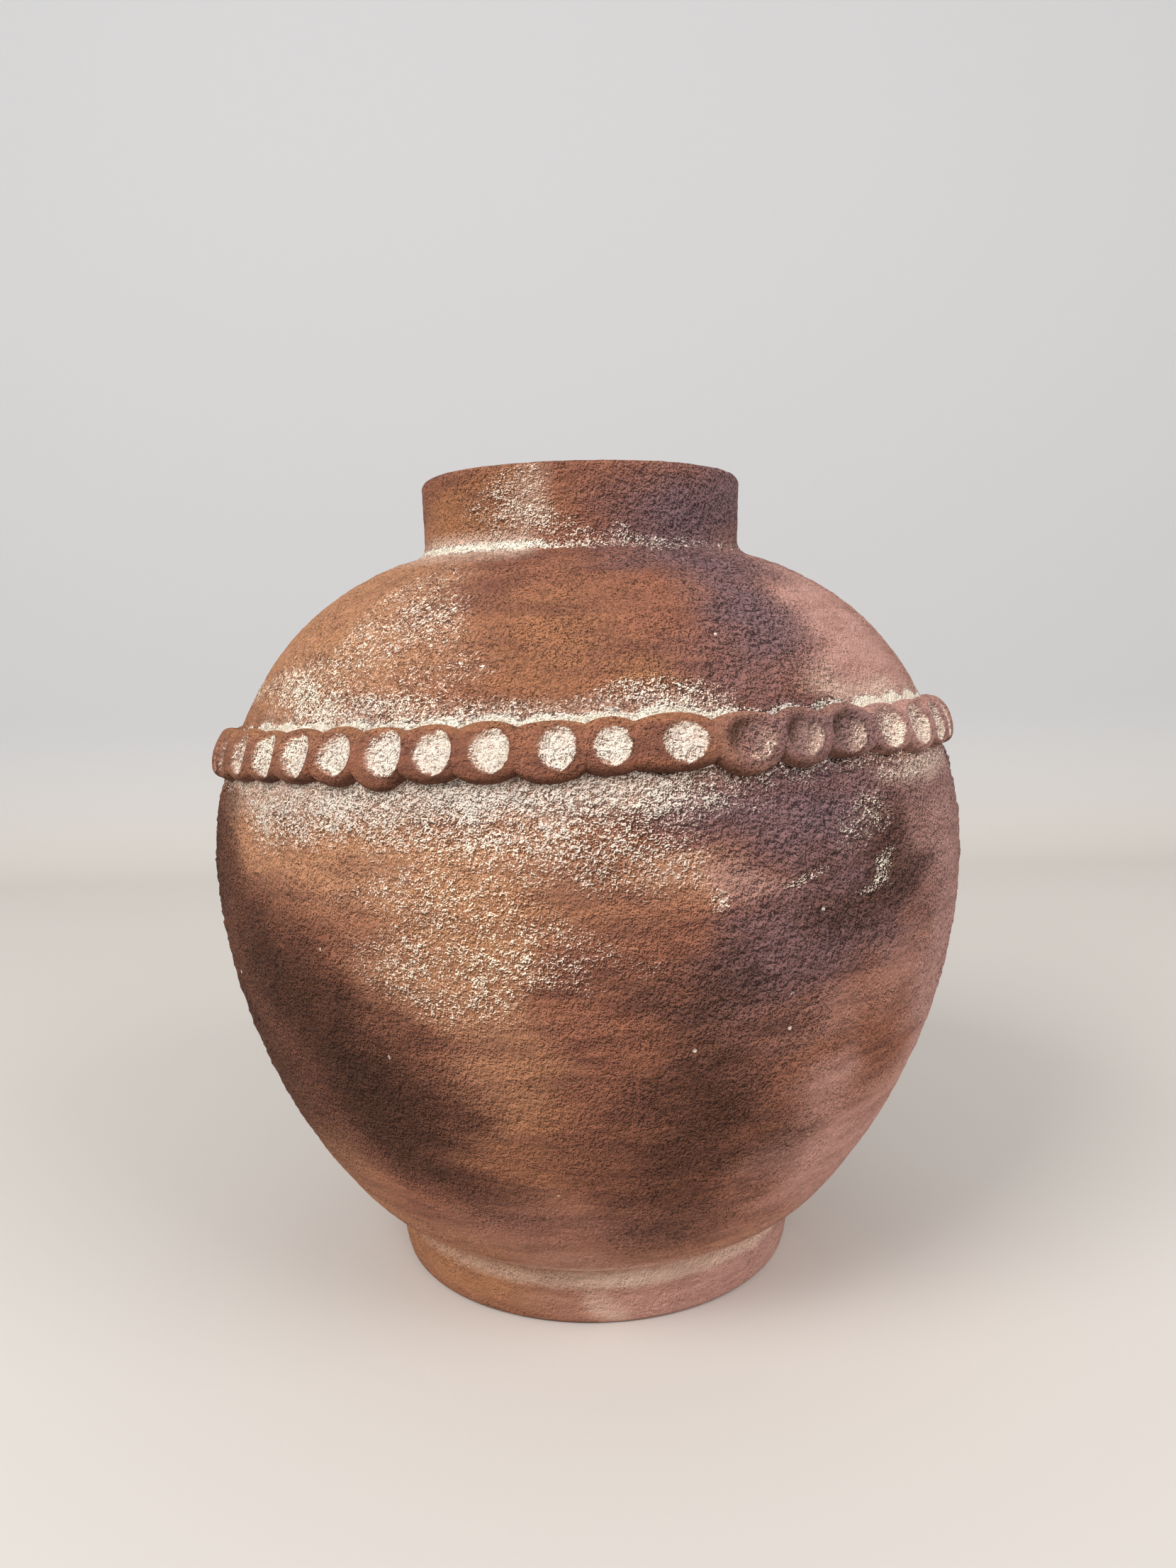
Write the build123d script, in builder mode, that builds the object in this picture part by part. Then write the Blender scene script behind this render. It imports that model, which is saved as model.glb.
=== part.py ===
from build123d import *
import os
from math import acos, asin, atan2, cos, pi, radians, sin, sqrt

# A wide-bellied storage jar of fired clay, built up by hand in courses and luted together.
# Millimetres, +Z up, origin on the ground under the jar's axis. The front of the jar faces -Y.

# Foot ring and floor
foot_height = 25.0
waist_radius = 94.0
foot_bulge = 2.5
foot_width = 14.0
foot_edge_round = 2.0
floor_thickness = 12.0
floor_rim = 6.0
floor_pan_inset = 16.0

# Body wall: its widest level, how far it rises, and the slope of the wall at both ends
belly_radius = 174.0
bowl_height = 175.0
shoulder_height = 134.5
wall = 10.0
bowl_end_slope = 24.0
shoulder_end_slope = 13.0
bowl_fullness = 5.0
shoulder_fullness = 1.1

# Luted joints between the courses of the wall, as shares of the bowl's and the shoulder's height
bowl_joint_shares = [0.22, 0.45, 0.69, 0.93]
shoulder_joint_share = 0.68
tongue_height = 4.0

# Neck collar, seated in a rebate round the mouth of the shoulder
neck_radius = 74.0
neck_height = 35.5
neck_wall = 9.0
neck_root_flare = 6.0
neck_root_rise = 8.0
lip_flare = 0.8
lip_outer_round = 4.0
lip_inner_round = 3.0
rebate_depth = 2.5
mouth_clearance = 2.0

# Belt of clay pads pressed on with a fingertip, over the joint between belly and shoulder
band_rise = 51.0
band_lift_front = 7.0
band_lift_right = 4.0
pad_height = 21.0
pad_thickness = 7.5
pad_edge_round = 4.5
pad_edge_share = 0.75
pad_notch_share = 0.72
pad_root = 3.0
pad_slip = 0.2
pad_shift = 1.2
dimple_width = 13.5
dimple_depth = 4.0

# Where the front pads meet, in degrees round from the front, positive to the right
front_pad_edges = [-67, -60, -52, -45, -37, -30, -23, -16, -8.5, 0, 6, 16, 25, 32.5, 41, 49.5, 58, 66, 74]
rear_pad_count = 32
rear_pad_wander = 0.1
rear_pad_rhythm = 2.4

# Levels that follow from the sizes above
belly_level = foot_height + bowl_height
root_level = belly_level + shoulder_height
lip_level = root_level + neck_height
band_level = belly_level + band_rise
foot_inner_radius = waist_radius - foot_width
floor_radius = waist_radius - floor_rim
floor_pan_radius = waist_radius - floor_pan_inset
ledge_level = foot_height - floor_thickness
neck_bore_radius = neck_radius - neck_wall
root_radius = neck_radius + neck_root_flare
mouth_radius = neck_bore_radius + mouth_clearance


class WallArc:
    """One arc of the wall's outside, in radius and height, between two angles at its centre."""

    def __init__(self, centre, radius, end_a, end_b):
        self.centre = centre
        self.radius = radius
        angles = sorted(atan2(end.Y - centre.Y, end.X - centre.X) for end in (end_a, end_b))
        self.low, self.high = angles

    def point(self, angle, inset=0.0):
        reach = self.radius - inset
        return (self.centre.X + reach * cos(angle), self.centre.Y + reach * sin(angle))

    def angle_at_height(self, height):
        return asin((height - self.centre.Y) / self.radius)

    def angle_at_radius(self, radius, inset=0.0):
        return acos((radius - self.centre.X) / (self.radius - inset))

    def top(self):
        return self.centre.Y + self.radius * sin(self.high)


def arc_from(start, way, end):
    """The arc that leaves start along way and ends at end."""
    chord = end - start
    across = Vector(-way.Y, way.X)
    radius = chord.dot(chord) / (2 * chord.dot(across))
    return WallArc(start + across * radius, abs(radius), start, end)


def two_arcs(start, start_way, end, end_way, fullness):
    """Two arcs, tangent where they meet, from start to end along the given directions."""
    chord = end - start
    a = 2 * fullness * (1 - start_way.dot(end_way))
    b = 2 * chord.dot(start_way * fullness + end_way)
    reach = (sqrt(b * b + 4 * a * chord.dot(chord)) - b) / (2 * a)
    first_corner = start + start_way * (fullness * reach)
    second_corner = end - end_way * reach
    knot = (first_corner + second_corner * fullness) * (1 / (1 + fullness))
    return arc_from(start, start_way, knot), arc_from(end, end_way, knot)


bowl_slope = radians(bowl_end_slope)
shoulder_slope = radians(shoulder_end_slope)
belly_point = Vector(belly_radius, belly_level)
lower_arc, base_arc = two_arcs(
    belly_point,
    Vector(0, -1),
    Vector(waist_radius, foot_height),
    Vector(-cos(bowl_slope), -sin(bowl_slope)),
    bowl_fullness,
)
upper_arc, shoulder_arc = two_arcs(
    belly_point,
    Vector(0, 1),
    Vector(neck_radius, root_level),
    Vector(-cos(shoulder_slope), sin(shoulder_slope)),
    shoulder_fullness,
)
wall_arcs = [base_arc, lower_arc, upper_arc, shoulder_arc]
BASE = wall_arcs.index(base_arc)
SHOULDER = wall_arcs.index(shoulder_arc)


def station(height):
    """The arc that holds this level of the wall, by its place in the list, and the angle on it."""
    index = 0
    while height > wall_arcs[index].top():
        index += 1
    return index, wall_arcs[index].angle_at_height(height)


def wall_curve(low, high, inset=0.0):
    """Three points on each arc of the wall between two stations, from the lower one to the upper."""
    triples = []
    for index in range(low[0], high[0] + 1):
        arc = wall_arcs[index]
        first = low[1] if index == low[0] else arc.low
        last = high[1] if index == high[0] else arc.high
        middle = (first + last) / 2
        triples.append([arc.point(angle, inset) for angle in (first, middle, last)])
    return triples


def joint_points(place):
    """A joint across the wall: its outer edge, the tip of the tongue and its inner edge."""
    arc = wall_arcs[place[0]]
    outer = arc.point(place[1])
    inner = arc.point(place[1], wall)
    middle = arc.point(place[1], wall / 2)
    tip = (middle[0] - tongue_height * sin(place[1]), middle[1] + tongue_height * cos(place[1]))
    return [outer, tip, inner]


# Both ends of the wall: the crease over the foot, the edge of the floor, the rebate and the mouth
crease = (BASE, base_arc.low)
floor_edge = (BASE, -base_arc.angle_at_radius(floor_pan_radius, wall))
floor_edge_point = base_arc.point(floor_edge[1], wall)
rebate_edge = (SHOULDER, shoulder_arc.angle_at_radius(root_radius))
rebate_top = shoulder_arc.point(rebate_edge[1])
seat_level = rebate_top[1] - rebate_depth
mouth_edge = (SHOULDER, shoulder_arc.angle_at_radius(mouth_radius, wall))
mouth_point = shoulder_arc.point(mouth_edge[1], wall)

# Every seam of the wall from the foot to the mouth, with where it meets the outside and the inside
joint_levels = [foot_height + bowl_height * share for share in bowl_joint_shares]
joint_levels += [band_level, belly_level + shoulder_height * shoulder_joint_share]
joints = [station(level) for level in joint_levels]
floor_seam = [(waist_radius, foot_height), (floor_pan_radius, foot_height), floor_edge_point]
mouth_seam = [rebate_top, (root_radius, seat_level), (mouth_radius, seat_level), mouth_point]
seams = [floor_seam] + [joint_points(joint) for joint in joints] + [mouth_seam]
outer_ends = [crease] + joints + [rebate_edge]
inner_ends = [floor_edge] + joints + [mouth_edge]

os.makedirs("parts", exist_ok=True)

# Foot ring: a swelling outside, and a ledge inside that carries the floor
with BuildPart() as foot_ring:
    with BuildSketch(Plane.XZ) as foot_section:
        with BuildLine():
            foot_swell = (waist_radius + foot_bulge, foot_height / 2)
            ThreePointArc((waist_radius, foot_height), foot_swell, (waist_radius, 0))
            Polyline(
                (waist_radius, 0),
                (foot_inner_radius, 0),
                (foot_inner_radius, ledge_level),
                (floor_radius, ledge_level),
                (floor_radius, foot_height),
                (waist_radius, foot_height),
            )
        make_face()
        fillet(foot_section.vertices().group_by(Axis.Y)[0], foot_edge_round)
    revolve(axis=Axis.Z)
foot_ring.part.label = "foot_ring"
export_step(foot_ring.part, "parts/foot_ring.step")

# Floor disc: lies on the ledge, with a raised middle that the first wall course stands round
with BuildPart() as floor_disc:
    with BuildSketch(Plane.XY.offset(ledge_level)):
        Circle(floor_radius)
    extrude(amount=floor_thickness)
    with BuildSketch(Plane.XY.offset(foot_height)):
        Circle(floor_pan_radius)
    extrude(amount=floor_edge_point[1] - foot_height)
floor_disc.part.label = "floor_disc"
export_step(floor_disc.part, "parts/floor_disc.step")

# Wall courses: the first stands on floor and foot, each carries the next on a tongue round its top edge,
# and the last closes in to the mouth, where a rebate takes the collar
for number in range(1, len(seams)):
    with BuildPart() as wall_course:
        with BuildSketch(Plane.XZ):
            with BuildLine():
                for triple in wall_curve(outer_ends[number - 1], outer_ends[number]):
                    ThreePointArc(*triple)
                Polyline(*seams[number])
                for triple in wall_curve(inner_ends[number - 1], inner_ends[number], wall):
                    ThreePointArc(*triple)
                Polyline(*seams[number - 1])
            make_face()
        revolve(axis=Axis.Z)
    wall_course.part.label = f"wall_course_{number}"
    export_step(wall_course.part, f"parts/wall_course_{number}.step")

# Neck collar: a short upright neck with a hollow root and a rounded lip
neck_foot_level = rebate_top[1] + neck_root_rise
with BuildPart() as neck_collar:
    with BuildSketch(Plane.XZ) as neck_section:
        with BuildLine():
            Line((neck_bore_radius, seat_level), (root_radius, seat_level))
            Line((root_radius, seat_level), rebate_top)
            TangentArc((neck_radius, neck_foot_level), rebate_top, tangent=(0, -1))
            Polyline(
                (neck_radius, neck_foot_level),
                (neck_radius + lip_flare, lip_level),
                (neck_bore_radius, lip_level),
                (neck_bore_radius, seat_level),
            )
        make_face()
        fillet(neck_section.vertices().group_by(Axis.Y)[-1].sort_by(Axis.X)[-1], lip_outer_round)
        fillet(neck_section.vertices().group_by(Axis.Y)[-1].sort_by(Axis.X)[0], lip_inner_round)
    revolve(axis=Axis.Z)
neck_collar.part.label = "neck_collar"
export_step(neck_collar.part, "parts/neck_collar.step")


def band_height(azimuth):
    """The belt was laid by eye: it rides higher at the front and at the right."""
    return band_level + band_lift_front * cos(azimuth) + band_lift_right * sin(azimuth)


def pad_edges():
    """Where neighbouring pads meet, all the way round: seen ones at the front, uneven ones behind."""
    edges = [radians(edge) for edge in front_pad_edges]
    rear_widths = [1 + rear_pad_wander * sin(rear_pad_rhythm * step) for step in range(rear_pad_count)]
    left_over = 2 * pi - (edges[-1] - edges[0])
    for width in rear_widths:
        edges.append(edges[-1] + left_over * width / sum(rear_widths))
    return edges


# The wall's own outside near the belt, under a film of slip, which shapes the back of each pad
band_reach = abs(band_lift_front) + abs(band_lift_right) + pad_height
below_band = station(band_level - band_reach)
above_band = station(band_level + band_reach)
with BuildPart() as wall_core:
    with BuildSketch(Plane.XZ):
        with BuildLine():
            band_curve = wall_curve(below_band, above_band, -pad_slip)
            for triple in band_curve:
                ThreePointArc(*triple)
            core_low = band_curve[0][0]
            core_high = band_curve[-1][2]
            Polyline(core_high, (0, core_high[1]), (0, core_low[1]), core_low)
        make_face()
    revolve(axis=Axis.Z)

# Finger pads: an oval lump, dished by a fingertip, cut where it meets its neighbours and the wall
dimple_radius = (dimple_width**2 / 4 + dimple_depth**2) / (2 * dimple_depth)
edges = pad_edges()
for number in range(1, len(edges)):
    start = edges[number - 1]
    end = edges[number]
    middle = (start + end) / 2
    height = band_height(middle)
    place = station(height)
    radius = wall_arcs[place[0]].point(place[1])[0]
    half_width = radius * (end - start) / 2
    long_half = half_width / pad_notch_share
    short_half = pad_height / 2
    tightest_curve = short_half**2 / long_half
    edge_round = min(pad_edge_round, pad_edge_share * tightest_curve, pad_edge_share * pad_thickness)
    seat = Plane(
        origin=(radius * sin(middle), -radius * cos(middle), height),
        x_dir=(cos(middle), sin(middle), 0),
        z_dir=(sin(middle) * cos(place[1]), -cos(middle) * cos(place[1]), sin(place[1])),
    )
    wedge_reach = 2 * radius
    with BuildPart() as finger_pad:
        with BuildSketch(seat.offset(-pad_root)):
            Ellipse(long_half, short_half)
        extrude(amount=pad_root + pad_thickness)
        front_face = finger_pad.faces().sort_by(Axis(seat.origin, seat.z_dir))[-1]
        fillet(front_face.edges(), edge_round)
        with Locations(seat.offset(pad_thickness - dimple_depth + dimple_radius)):
            with Locations((pad_shift, 0, 0)):
                Sphere(dimple_radius, mode=Mode.SUBTRACT)
        with BuildSketch(Plane.XY.offset(height - pad_height)):
            with BuildLine():
                Polyline(
                    (0, 0),
                    (wedge_reach * sin(start), -wedge_reach * cos(start)),
                    (wedge_reach * sin(end), -wedge_reach * cos(end)),
                    close=True,
                )
            make_face()
        extrude(amount=2 * pad_height, mode=Mode.INTERSECT)
        add(wall_core.part, mode=Mode.SUBTRACT)
    finger_pad.part.label = f"finger_pad_{number:02d}"
    export_step(finger_pad.part, f"parts/finger_pad_{number:02d}.step")

print(f"overall height {lip_level:.1f}, belly across {2 * belly_radius:.1f}, pads {len(edges) - 1}")
bore_top = lip_level - lip_inner_round
print(f"collar bore from {seat_level:.2f} to {bore_top:.2f}, radius {neck_bore_radius:.2f}")
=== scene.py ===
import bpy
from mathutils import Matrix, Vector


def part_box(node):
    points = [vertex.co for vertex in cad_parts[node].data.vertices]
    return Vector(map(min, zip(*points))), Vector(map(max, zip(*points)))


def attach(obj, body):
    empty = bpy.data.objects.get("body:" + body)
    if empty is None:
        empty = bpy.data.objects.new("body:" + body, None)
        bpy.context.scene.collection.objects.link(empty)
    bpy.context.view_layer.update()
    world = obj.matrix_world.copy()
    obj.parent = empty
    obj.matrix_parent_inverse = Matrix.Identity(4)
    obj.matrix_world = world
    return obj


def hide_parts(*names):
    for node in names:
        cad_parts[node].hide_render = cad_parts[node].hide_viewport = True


bl_info = {
    "name": "Finger-banded storage jar",
    "version": (1, 0, 0),
    "blender": (4, 5, 0),
    "location": "3D View > Sidebar > Jar",
    "description": "Builds the looks of a clay jar with a finger-pressed belt, piece by piece",
    "category": "Object",
}

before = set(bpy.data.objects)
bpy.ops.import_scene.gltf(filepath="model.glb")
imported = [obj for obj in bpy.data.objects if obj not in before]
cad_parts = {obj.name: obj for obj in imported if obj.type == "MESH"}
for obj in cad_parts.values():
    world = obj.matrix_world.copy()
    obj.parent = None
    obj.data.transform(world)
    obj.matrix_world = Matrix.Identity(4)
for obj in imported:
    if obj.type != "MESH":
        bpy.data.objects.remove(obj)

from itertools import product
from math import atan2, ceil, cos, pi, radians, sin, sqrt

import bpy
import numpy as np
from bpy.props import FloatProperty, FloatVectorProperty, IntProperty, PointerProperty
from mathutils import Matrix, Vector

# Metres, with the origin on the ground under the jar's axis. The front of the jar faces -Y, and an azimuth
# is counted from there, positive towards +X.

BODY = "root"
COURSES = sorted(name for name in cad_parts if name.startswith("wall_course_"))
PADS = sorted(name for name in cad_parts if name.startswith("finger_pad_"))

# Where the wall's courses meet, as shares of the bowl's height and of the shoulder's. One more joint lies
# behind the belt.
BOWL_JOINTS = (0.22, 0.45, 0.69, 0.93)
SHOULDER_JOINT = 0.68

# How far the belt sagged under its line, in metres
BELT_SAG = 0.0006

# Grains of the clay to a metre, and how strongly each finish shows them
GRAINS = 880
FINISHES = {"wiped_clay": 0.6, "gritty_clay": 1.0, "pressed_clay": 0.8}

# Where the front pads meet, in degrees, and for each pad between them: how far its finger mark lies to
# the right of its middle in degrees, how wide and tall the mark is and how far the pad hangs below the
# others in millimetres, how deep the mark is against the rest, and how much lime is in it
FRONT_EDGES = [-67, -60, -52, -45, -37, -30, -23, -16, -8.5, 0, 6, 16, 25, 32.5, 41, 49.5, 58, 66, 74]
FRONT_MARKS = [
    (0.3, 14.0, 15.5, 0.0, 0.9, 0.40), (1.0, 15.0, 16.5, 0.0, 0.9, 0.62), (1.2, 15.5, 17.0, 0.5, 0.9, 0.85),
    (1.0, 15.5, 16.5, 0.0, 0.9, 0.92), (0.7, 15.5, 15.8, 0.0, 1.0, 0.95), (1.3, 15.0, 17.5, 2.6, 1.0, 0.95),
    (0.9, 15.0, 16.5, 0.6, 1.0, 0.98), (0.9, 14.5, 16.0, 0.4, 1.0, 0.98), (0.9, 13.5, 16.0, 0.8, 1.0, 0.97),
    (0.2, 13.5, 14.5, 0.0, 1.0, 0.98), (1.0, 16.5, 15.5, 0.0, 1.1, 0.90), (0.1, 20.0, 17.5, 1.8, 1.4, 0.05),
    (-0.4, 16.5, 16.5, 0.4, 1.5, 0.10), (-0.9, 17.0, 16.5, 0.0, 1.5, 0.10),
    (-0.6, 17.5, 17.0, 0.0, 1.5, 0.45), (-1.0, 17.0, 17.0, 0.0, 1.4, 0.50),
    (-1.2, 16.0, 16.5, 0.0, 1.2, 0.50), (-1.0, 15.0, 15.5, 0.0, 1.0, 0.50),
]

# Soft patches of colour on the outside: azimuth in degrees, height, half width in degrees, half height,
# lean in degrees per millimetre of height, and strength. Heights are in millimetres.
PATCHES = {
    # On the front, the tan on the left is partly painted light: the warm tint of the light from the left
    "tan": [
        (-60, 300, 30, 52, 0, 0.8), (-33, 302, 15, 42, 0, 0.5), (-50, 230, 19, 18, 0, 0.75),
        (-22, 216, 28, 24, 0, 0.75), (-17, 182, 14, 32, 0, 0.65), (-12, 138, 10, 32, 0, 0.4),
        (-56, 75, 18, 28, 0, 0.4), (-40, 42, 40, 16, 0, 0.45), (20, 40, 30, 14, 0, 0.35),
        (14, 214, 9, 10, 0, 0.8), (-54, 344, 26, 12, 0, 0.15), (-60, 12, 50, 22, 0, 0.5),
        (0, 15, 30, 12, 0, 0.4), (130, 290, 40, 40, 0, 0.7), (205, 190, 40, 40, 0, 0.5),
        (160, 60, 50, 30, 0, 0.4),
    ],
    # On the front, the ochre on the left is partly painted light: the warm tint of the light from the left
    "ochre": [
        (-8, 292, 15, 32, 0, 0.4), (-40, 354, 34, 18, 0, 0.5), (-58, 296, 22, 40, 0, 0.25),
        (7, 281, 5, 9, 0, 0.5), (-14, 190, 12, 24, 0, 0.35), (-8, 110, 8, 44, 0, 0.3),
        (-32, 232, 18, 14, 0, 0.2), (20, 258, 8, 8, 0, 0.5), (-50, 12, 34, 16, 0, 0.5),
        (150, 285, 25, 25, 0, 0.4), (215, 200, 25, 30, 0, 0.4), (110, 120, 20, 40, 0, 0.3),
    ],
    # On the front, the blush on the right is partly painted light: the cool tint of the light from the right
    "blush": [
        (54, 300, 20, 42, 0, 1.0), (64, 180, 14, 95, 0, 0.85), (34, 122, 8, 17, 0, 0.7),
        (28, 152, 8, 11, 0, 0.35), (46, 158, 12, 15, 0, 0.45), (45, 76, 19, 42, 0, 0.85),
        (63, 90, 15, 60, 0, 0.85), (17, 212, 8, 8, 0, 0.5), (54, 242, 18, 9, 0, 0.7),
        (53, 212, 7, 26, 0, 0.45), (42, 12, 52, 22, 0, 0.95), (10, 36, 30, 12, 0, 0.4),
        (-2, 60, 34, 22, 0, 0.22), (85, 300, 20, 40, 0, 0.7), (90, 130, 20, 90, 0, 0.5),
        (112, 150, 24, 60, 0, 0.3), (250, 280, 30, 30, 0, 0.6), (180, 120, 30, 50, 0, 0.6),
    ],
    "soot_and_shade": [
        (-42, 160, 15, 50, -0.3, 1.0), (-24, 98, 11, 32, -0.15, 0.85), (-67, 196, 11, 42, 0, 0.85),
        (-62, 122, 18, 48, 0, 0.85), (-36, 118, 12, 26, 0, 0.6), (14, 124, 9, 52, 0, 0.7),
        (27, 96, 10, 13, 0, 0.6), (13, 68, 12, 18, 0, 0.5), (2, 92, 5, 20, 0, 0.3),
        (44, 208, 5.5, 20, 0, 0.8), (36, 190, 9, 12, 0, 0.55), (31, 214, 5, 8, 0, 0.35),
        (11, 178, 8, 14, 0, 0.45), (95, 200, 22, 35, 0, 0.6), (150, 165, 25, 30, 0, 0.8),
        (235, 120, 25, 40, 0, 0.9), (275, 190, 18, 40, 0, 0.6), (110, 80, 25, 25, 0, 0.7),
    ],
    "smoke": [
        (34, 352, 24, 26, 0, 0.8), (68, 352, 30, 26, 0, 0.8), (9, 352, 14, 22, 0, 0.2),
        (30, 300, 12, 36, 0, 0.8), (20, 284, 10, 22, 0, 0.35), (22, 330, 24, 7, 0, 0.5),
        (34, 205, 20, 36, 0, 0.72), (21, 180, 13, 22, 0, 0.7), (25, 238, 17, 15, 0, 0.72),
        (46, 234, 20, 15, 0, 0.5), (18, 140, 10, 30, 0, 0.15), (30, 256, 16, 10, 0, 0.8),
        (66, 190, 16, 75, 0, 0.36), (40, 176, 8, 14, 0, 0.5), (90, 230, 25, 35, 0, 0.7),
        (98, 165, 24, 60, 0, 0.45), (185, 235, 25, 25, 0, 0.7), (190, 350, 50, 24, 0, 0.6),
    ],
    "chalk_and_highlight": [
        (51, 271, 13, 12, 0, 0.65), (57, 240, 13, 8, 0, 0.5), (-64, 333, 12, 7, 0, 0.4),
        (4, 12, 6, 12, 0, 0.35), (-17, 351, 8, 14, 0.1, 0.28), (205, 250, 40, 10, 0, 0.3),
    ],
    "lime": [
        (-19, 354, 11, 13, 0.25, 0.27), (-15, 347, 7, 9, -0.2, 0.27), (-6, 342, 9, 6, 0, 0.3),
        (-28, 350, 16, 14, 0, 0.33), (13, 345, 5, 4, 0, 0.45), (22, 340, 24, 4, 0, 0.5),
        (-41, 294, 15, 34, 0.4, 0.37), (-28, 308, 9, 12, 0.3, 0.24), (-24, 284, 8, 12, 0.3, 0.26),
        (-14, 272, 9, 8, 0, 0.58), (8, 273, 15, 8, 0, 0.58), (-34, 272, 16, 7, 0, 0.55),
        (-48, 274, 14, 8, 0, 0.55), (-16, 242, 38, 11, 0, 0.8), (-16, 230, 32, 13, 0, 0.55),
        (-42, 238, 16, 12, 0, 0.5), (12, 240, 9, 7, 0, 0.5), (2, 218, 16, 12, 0, 0.4),
        (-18, 176, 13, 26, -0.1, 0.43), (-20, 206, 16, 12, 0, 0.34), (-4, 186, 10, 14, 0, 0.34),
        (39, 226, 7, 12, 0, 0.36), (43, 203, 2.4, 9, 0.2, 0.58), (27, 213, 6, 2.6, 0, 0.56),
        (13, 205, 3, 4, 0, 0.56), (54, 242, 16, 7, 0, 0.46), (112, 240, 26, 9, 0, 0.5),
        (136, 232, 18, 13, 0, 0.42), (215, 245, 40, 14, 0, 0.55), (190, 306, 13, 11, 0.4, 0.32),
        (206, 291, 20, 10, -0.3, 0.34), (224, 279, 18, 7, 0, 0.42), (158, 202, 10, 12, 0.3, 0.38),
        (172, 188, 12, 8, 0, 0.34), (146, 214, 9, 8, 0, 0.32), (258, 303, 10, 15, 0.5, 0.34),
        (270, 287, 16, 9, 0.2, 0.34), (287, 276, 14, 7, 0, 0.42), (140, 350, 20, 14, 0, 0.5),
    ],
}

# Where patches end and where they are full, as shares of their size, if they are softer than the rest
PATCH_EDGES = {"soot_and_shade": (1.6, 0.05), "smoke": (1.45, 0.2)}

# Strength of the colours on the inside of the jar
INSIDE = {"soot_and_shade": 0.4, "tan": 0.3}

# What every point of the clay carries: the strength of each colour, and how rough it is
LAYERS = (*PATCHES, "rough")

# Strength of the pale lines over the belt, under it and round the root of the neck, and of the painted
# highlight along the top of the foot, at these azimuths in degrees
BELT_LINE = [
    (-75, 0.7), (-62, 0.95), (-55, 1.3), (17, 1.3), (22, 1.0), (38, 1.05),
    (43, 1.4), (75, 1.4), (100, 0.9), (285, 0.7),
]
BELT_FRINGE = [
    (-75, 0.3), (-55, 0.6), (-8, 0.8), (6, 0.7), (20, 0.42), (45, 0.42), (60, 0.35), (180, 0.5), (285, 0.3)
]
ROOT_LINE = [
    (-75, 0.8), (-62, 1.3), (-20, 1.3), (-6, 0.6), (8, 0.42), (40, 0.32), (70, 0.25), (180, 0.45), (285, 0.8)
]
FOOT_HIGHLIGHT = [(-75, 0.15), (-45, 0.3), (-12, 0.6), (8, 0.75), (30, 0.6), (60, 0.5), (180, 0.5), (285, 0.2)]

# How smoked and how dusty pink the pads themselves are, at these azimuths in degrees
PAD_SMOKE = [(-75, 0.0), (14, 0.0), (22, 0.6), (38, 0.65), (46, 0.25), (90, 0.3), (130, 0.1), (285, 0.0)]
PAD_BLUSH = [(-75, 0.0), (14, 0.0), (22, 0.25), (36, 0.3), (44, 0.9), (85, 0.9), (115, 0.1), (285, 0.0)]


def linear(red, green, blue):
    """A colour given as it looks on a screen, 0 to 255, as the linear values that the shaders take."""
    shares = [value / 255 for value in (red, green, blue)]
    return [v / 12.92 if v <= 0.04045 else ((v + 0.055) / 1.055) ** 2.4 for v in shares]


def amount(name, description, default, unit="NONE", **more):
    """A number that a user can change."""
    return FloatProperty(name=name, description=description, default=default, unit=unit, **more)


def metres(name, description, default):
    """A size that a user can change."""
    return amount(name, description, default, "LENGTH")


def shade(name, description, *screen):
    """A colour that a user can change, given as it looks on a screen."""
    start = linear(*screen)
    return FloatVectorProperty(name=name, description=description, default=start, subtype="COLOR", size=3)


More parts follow.
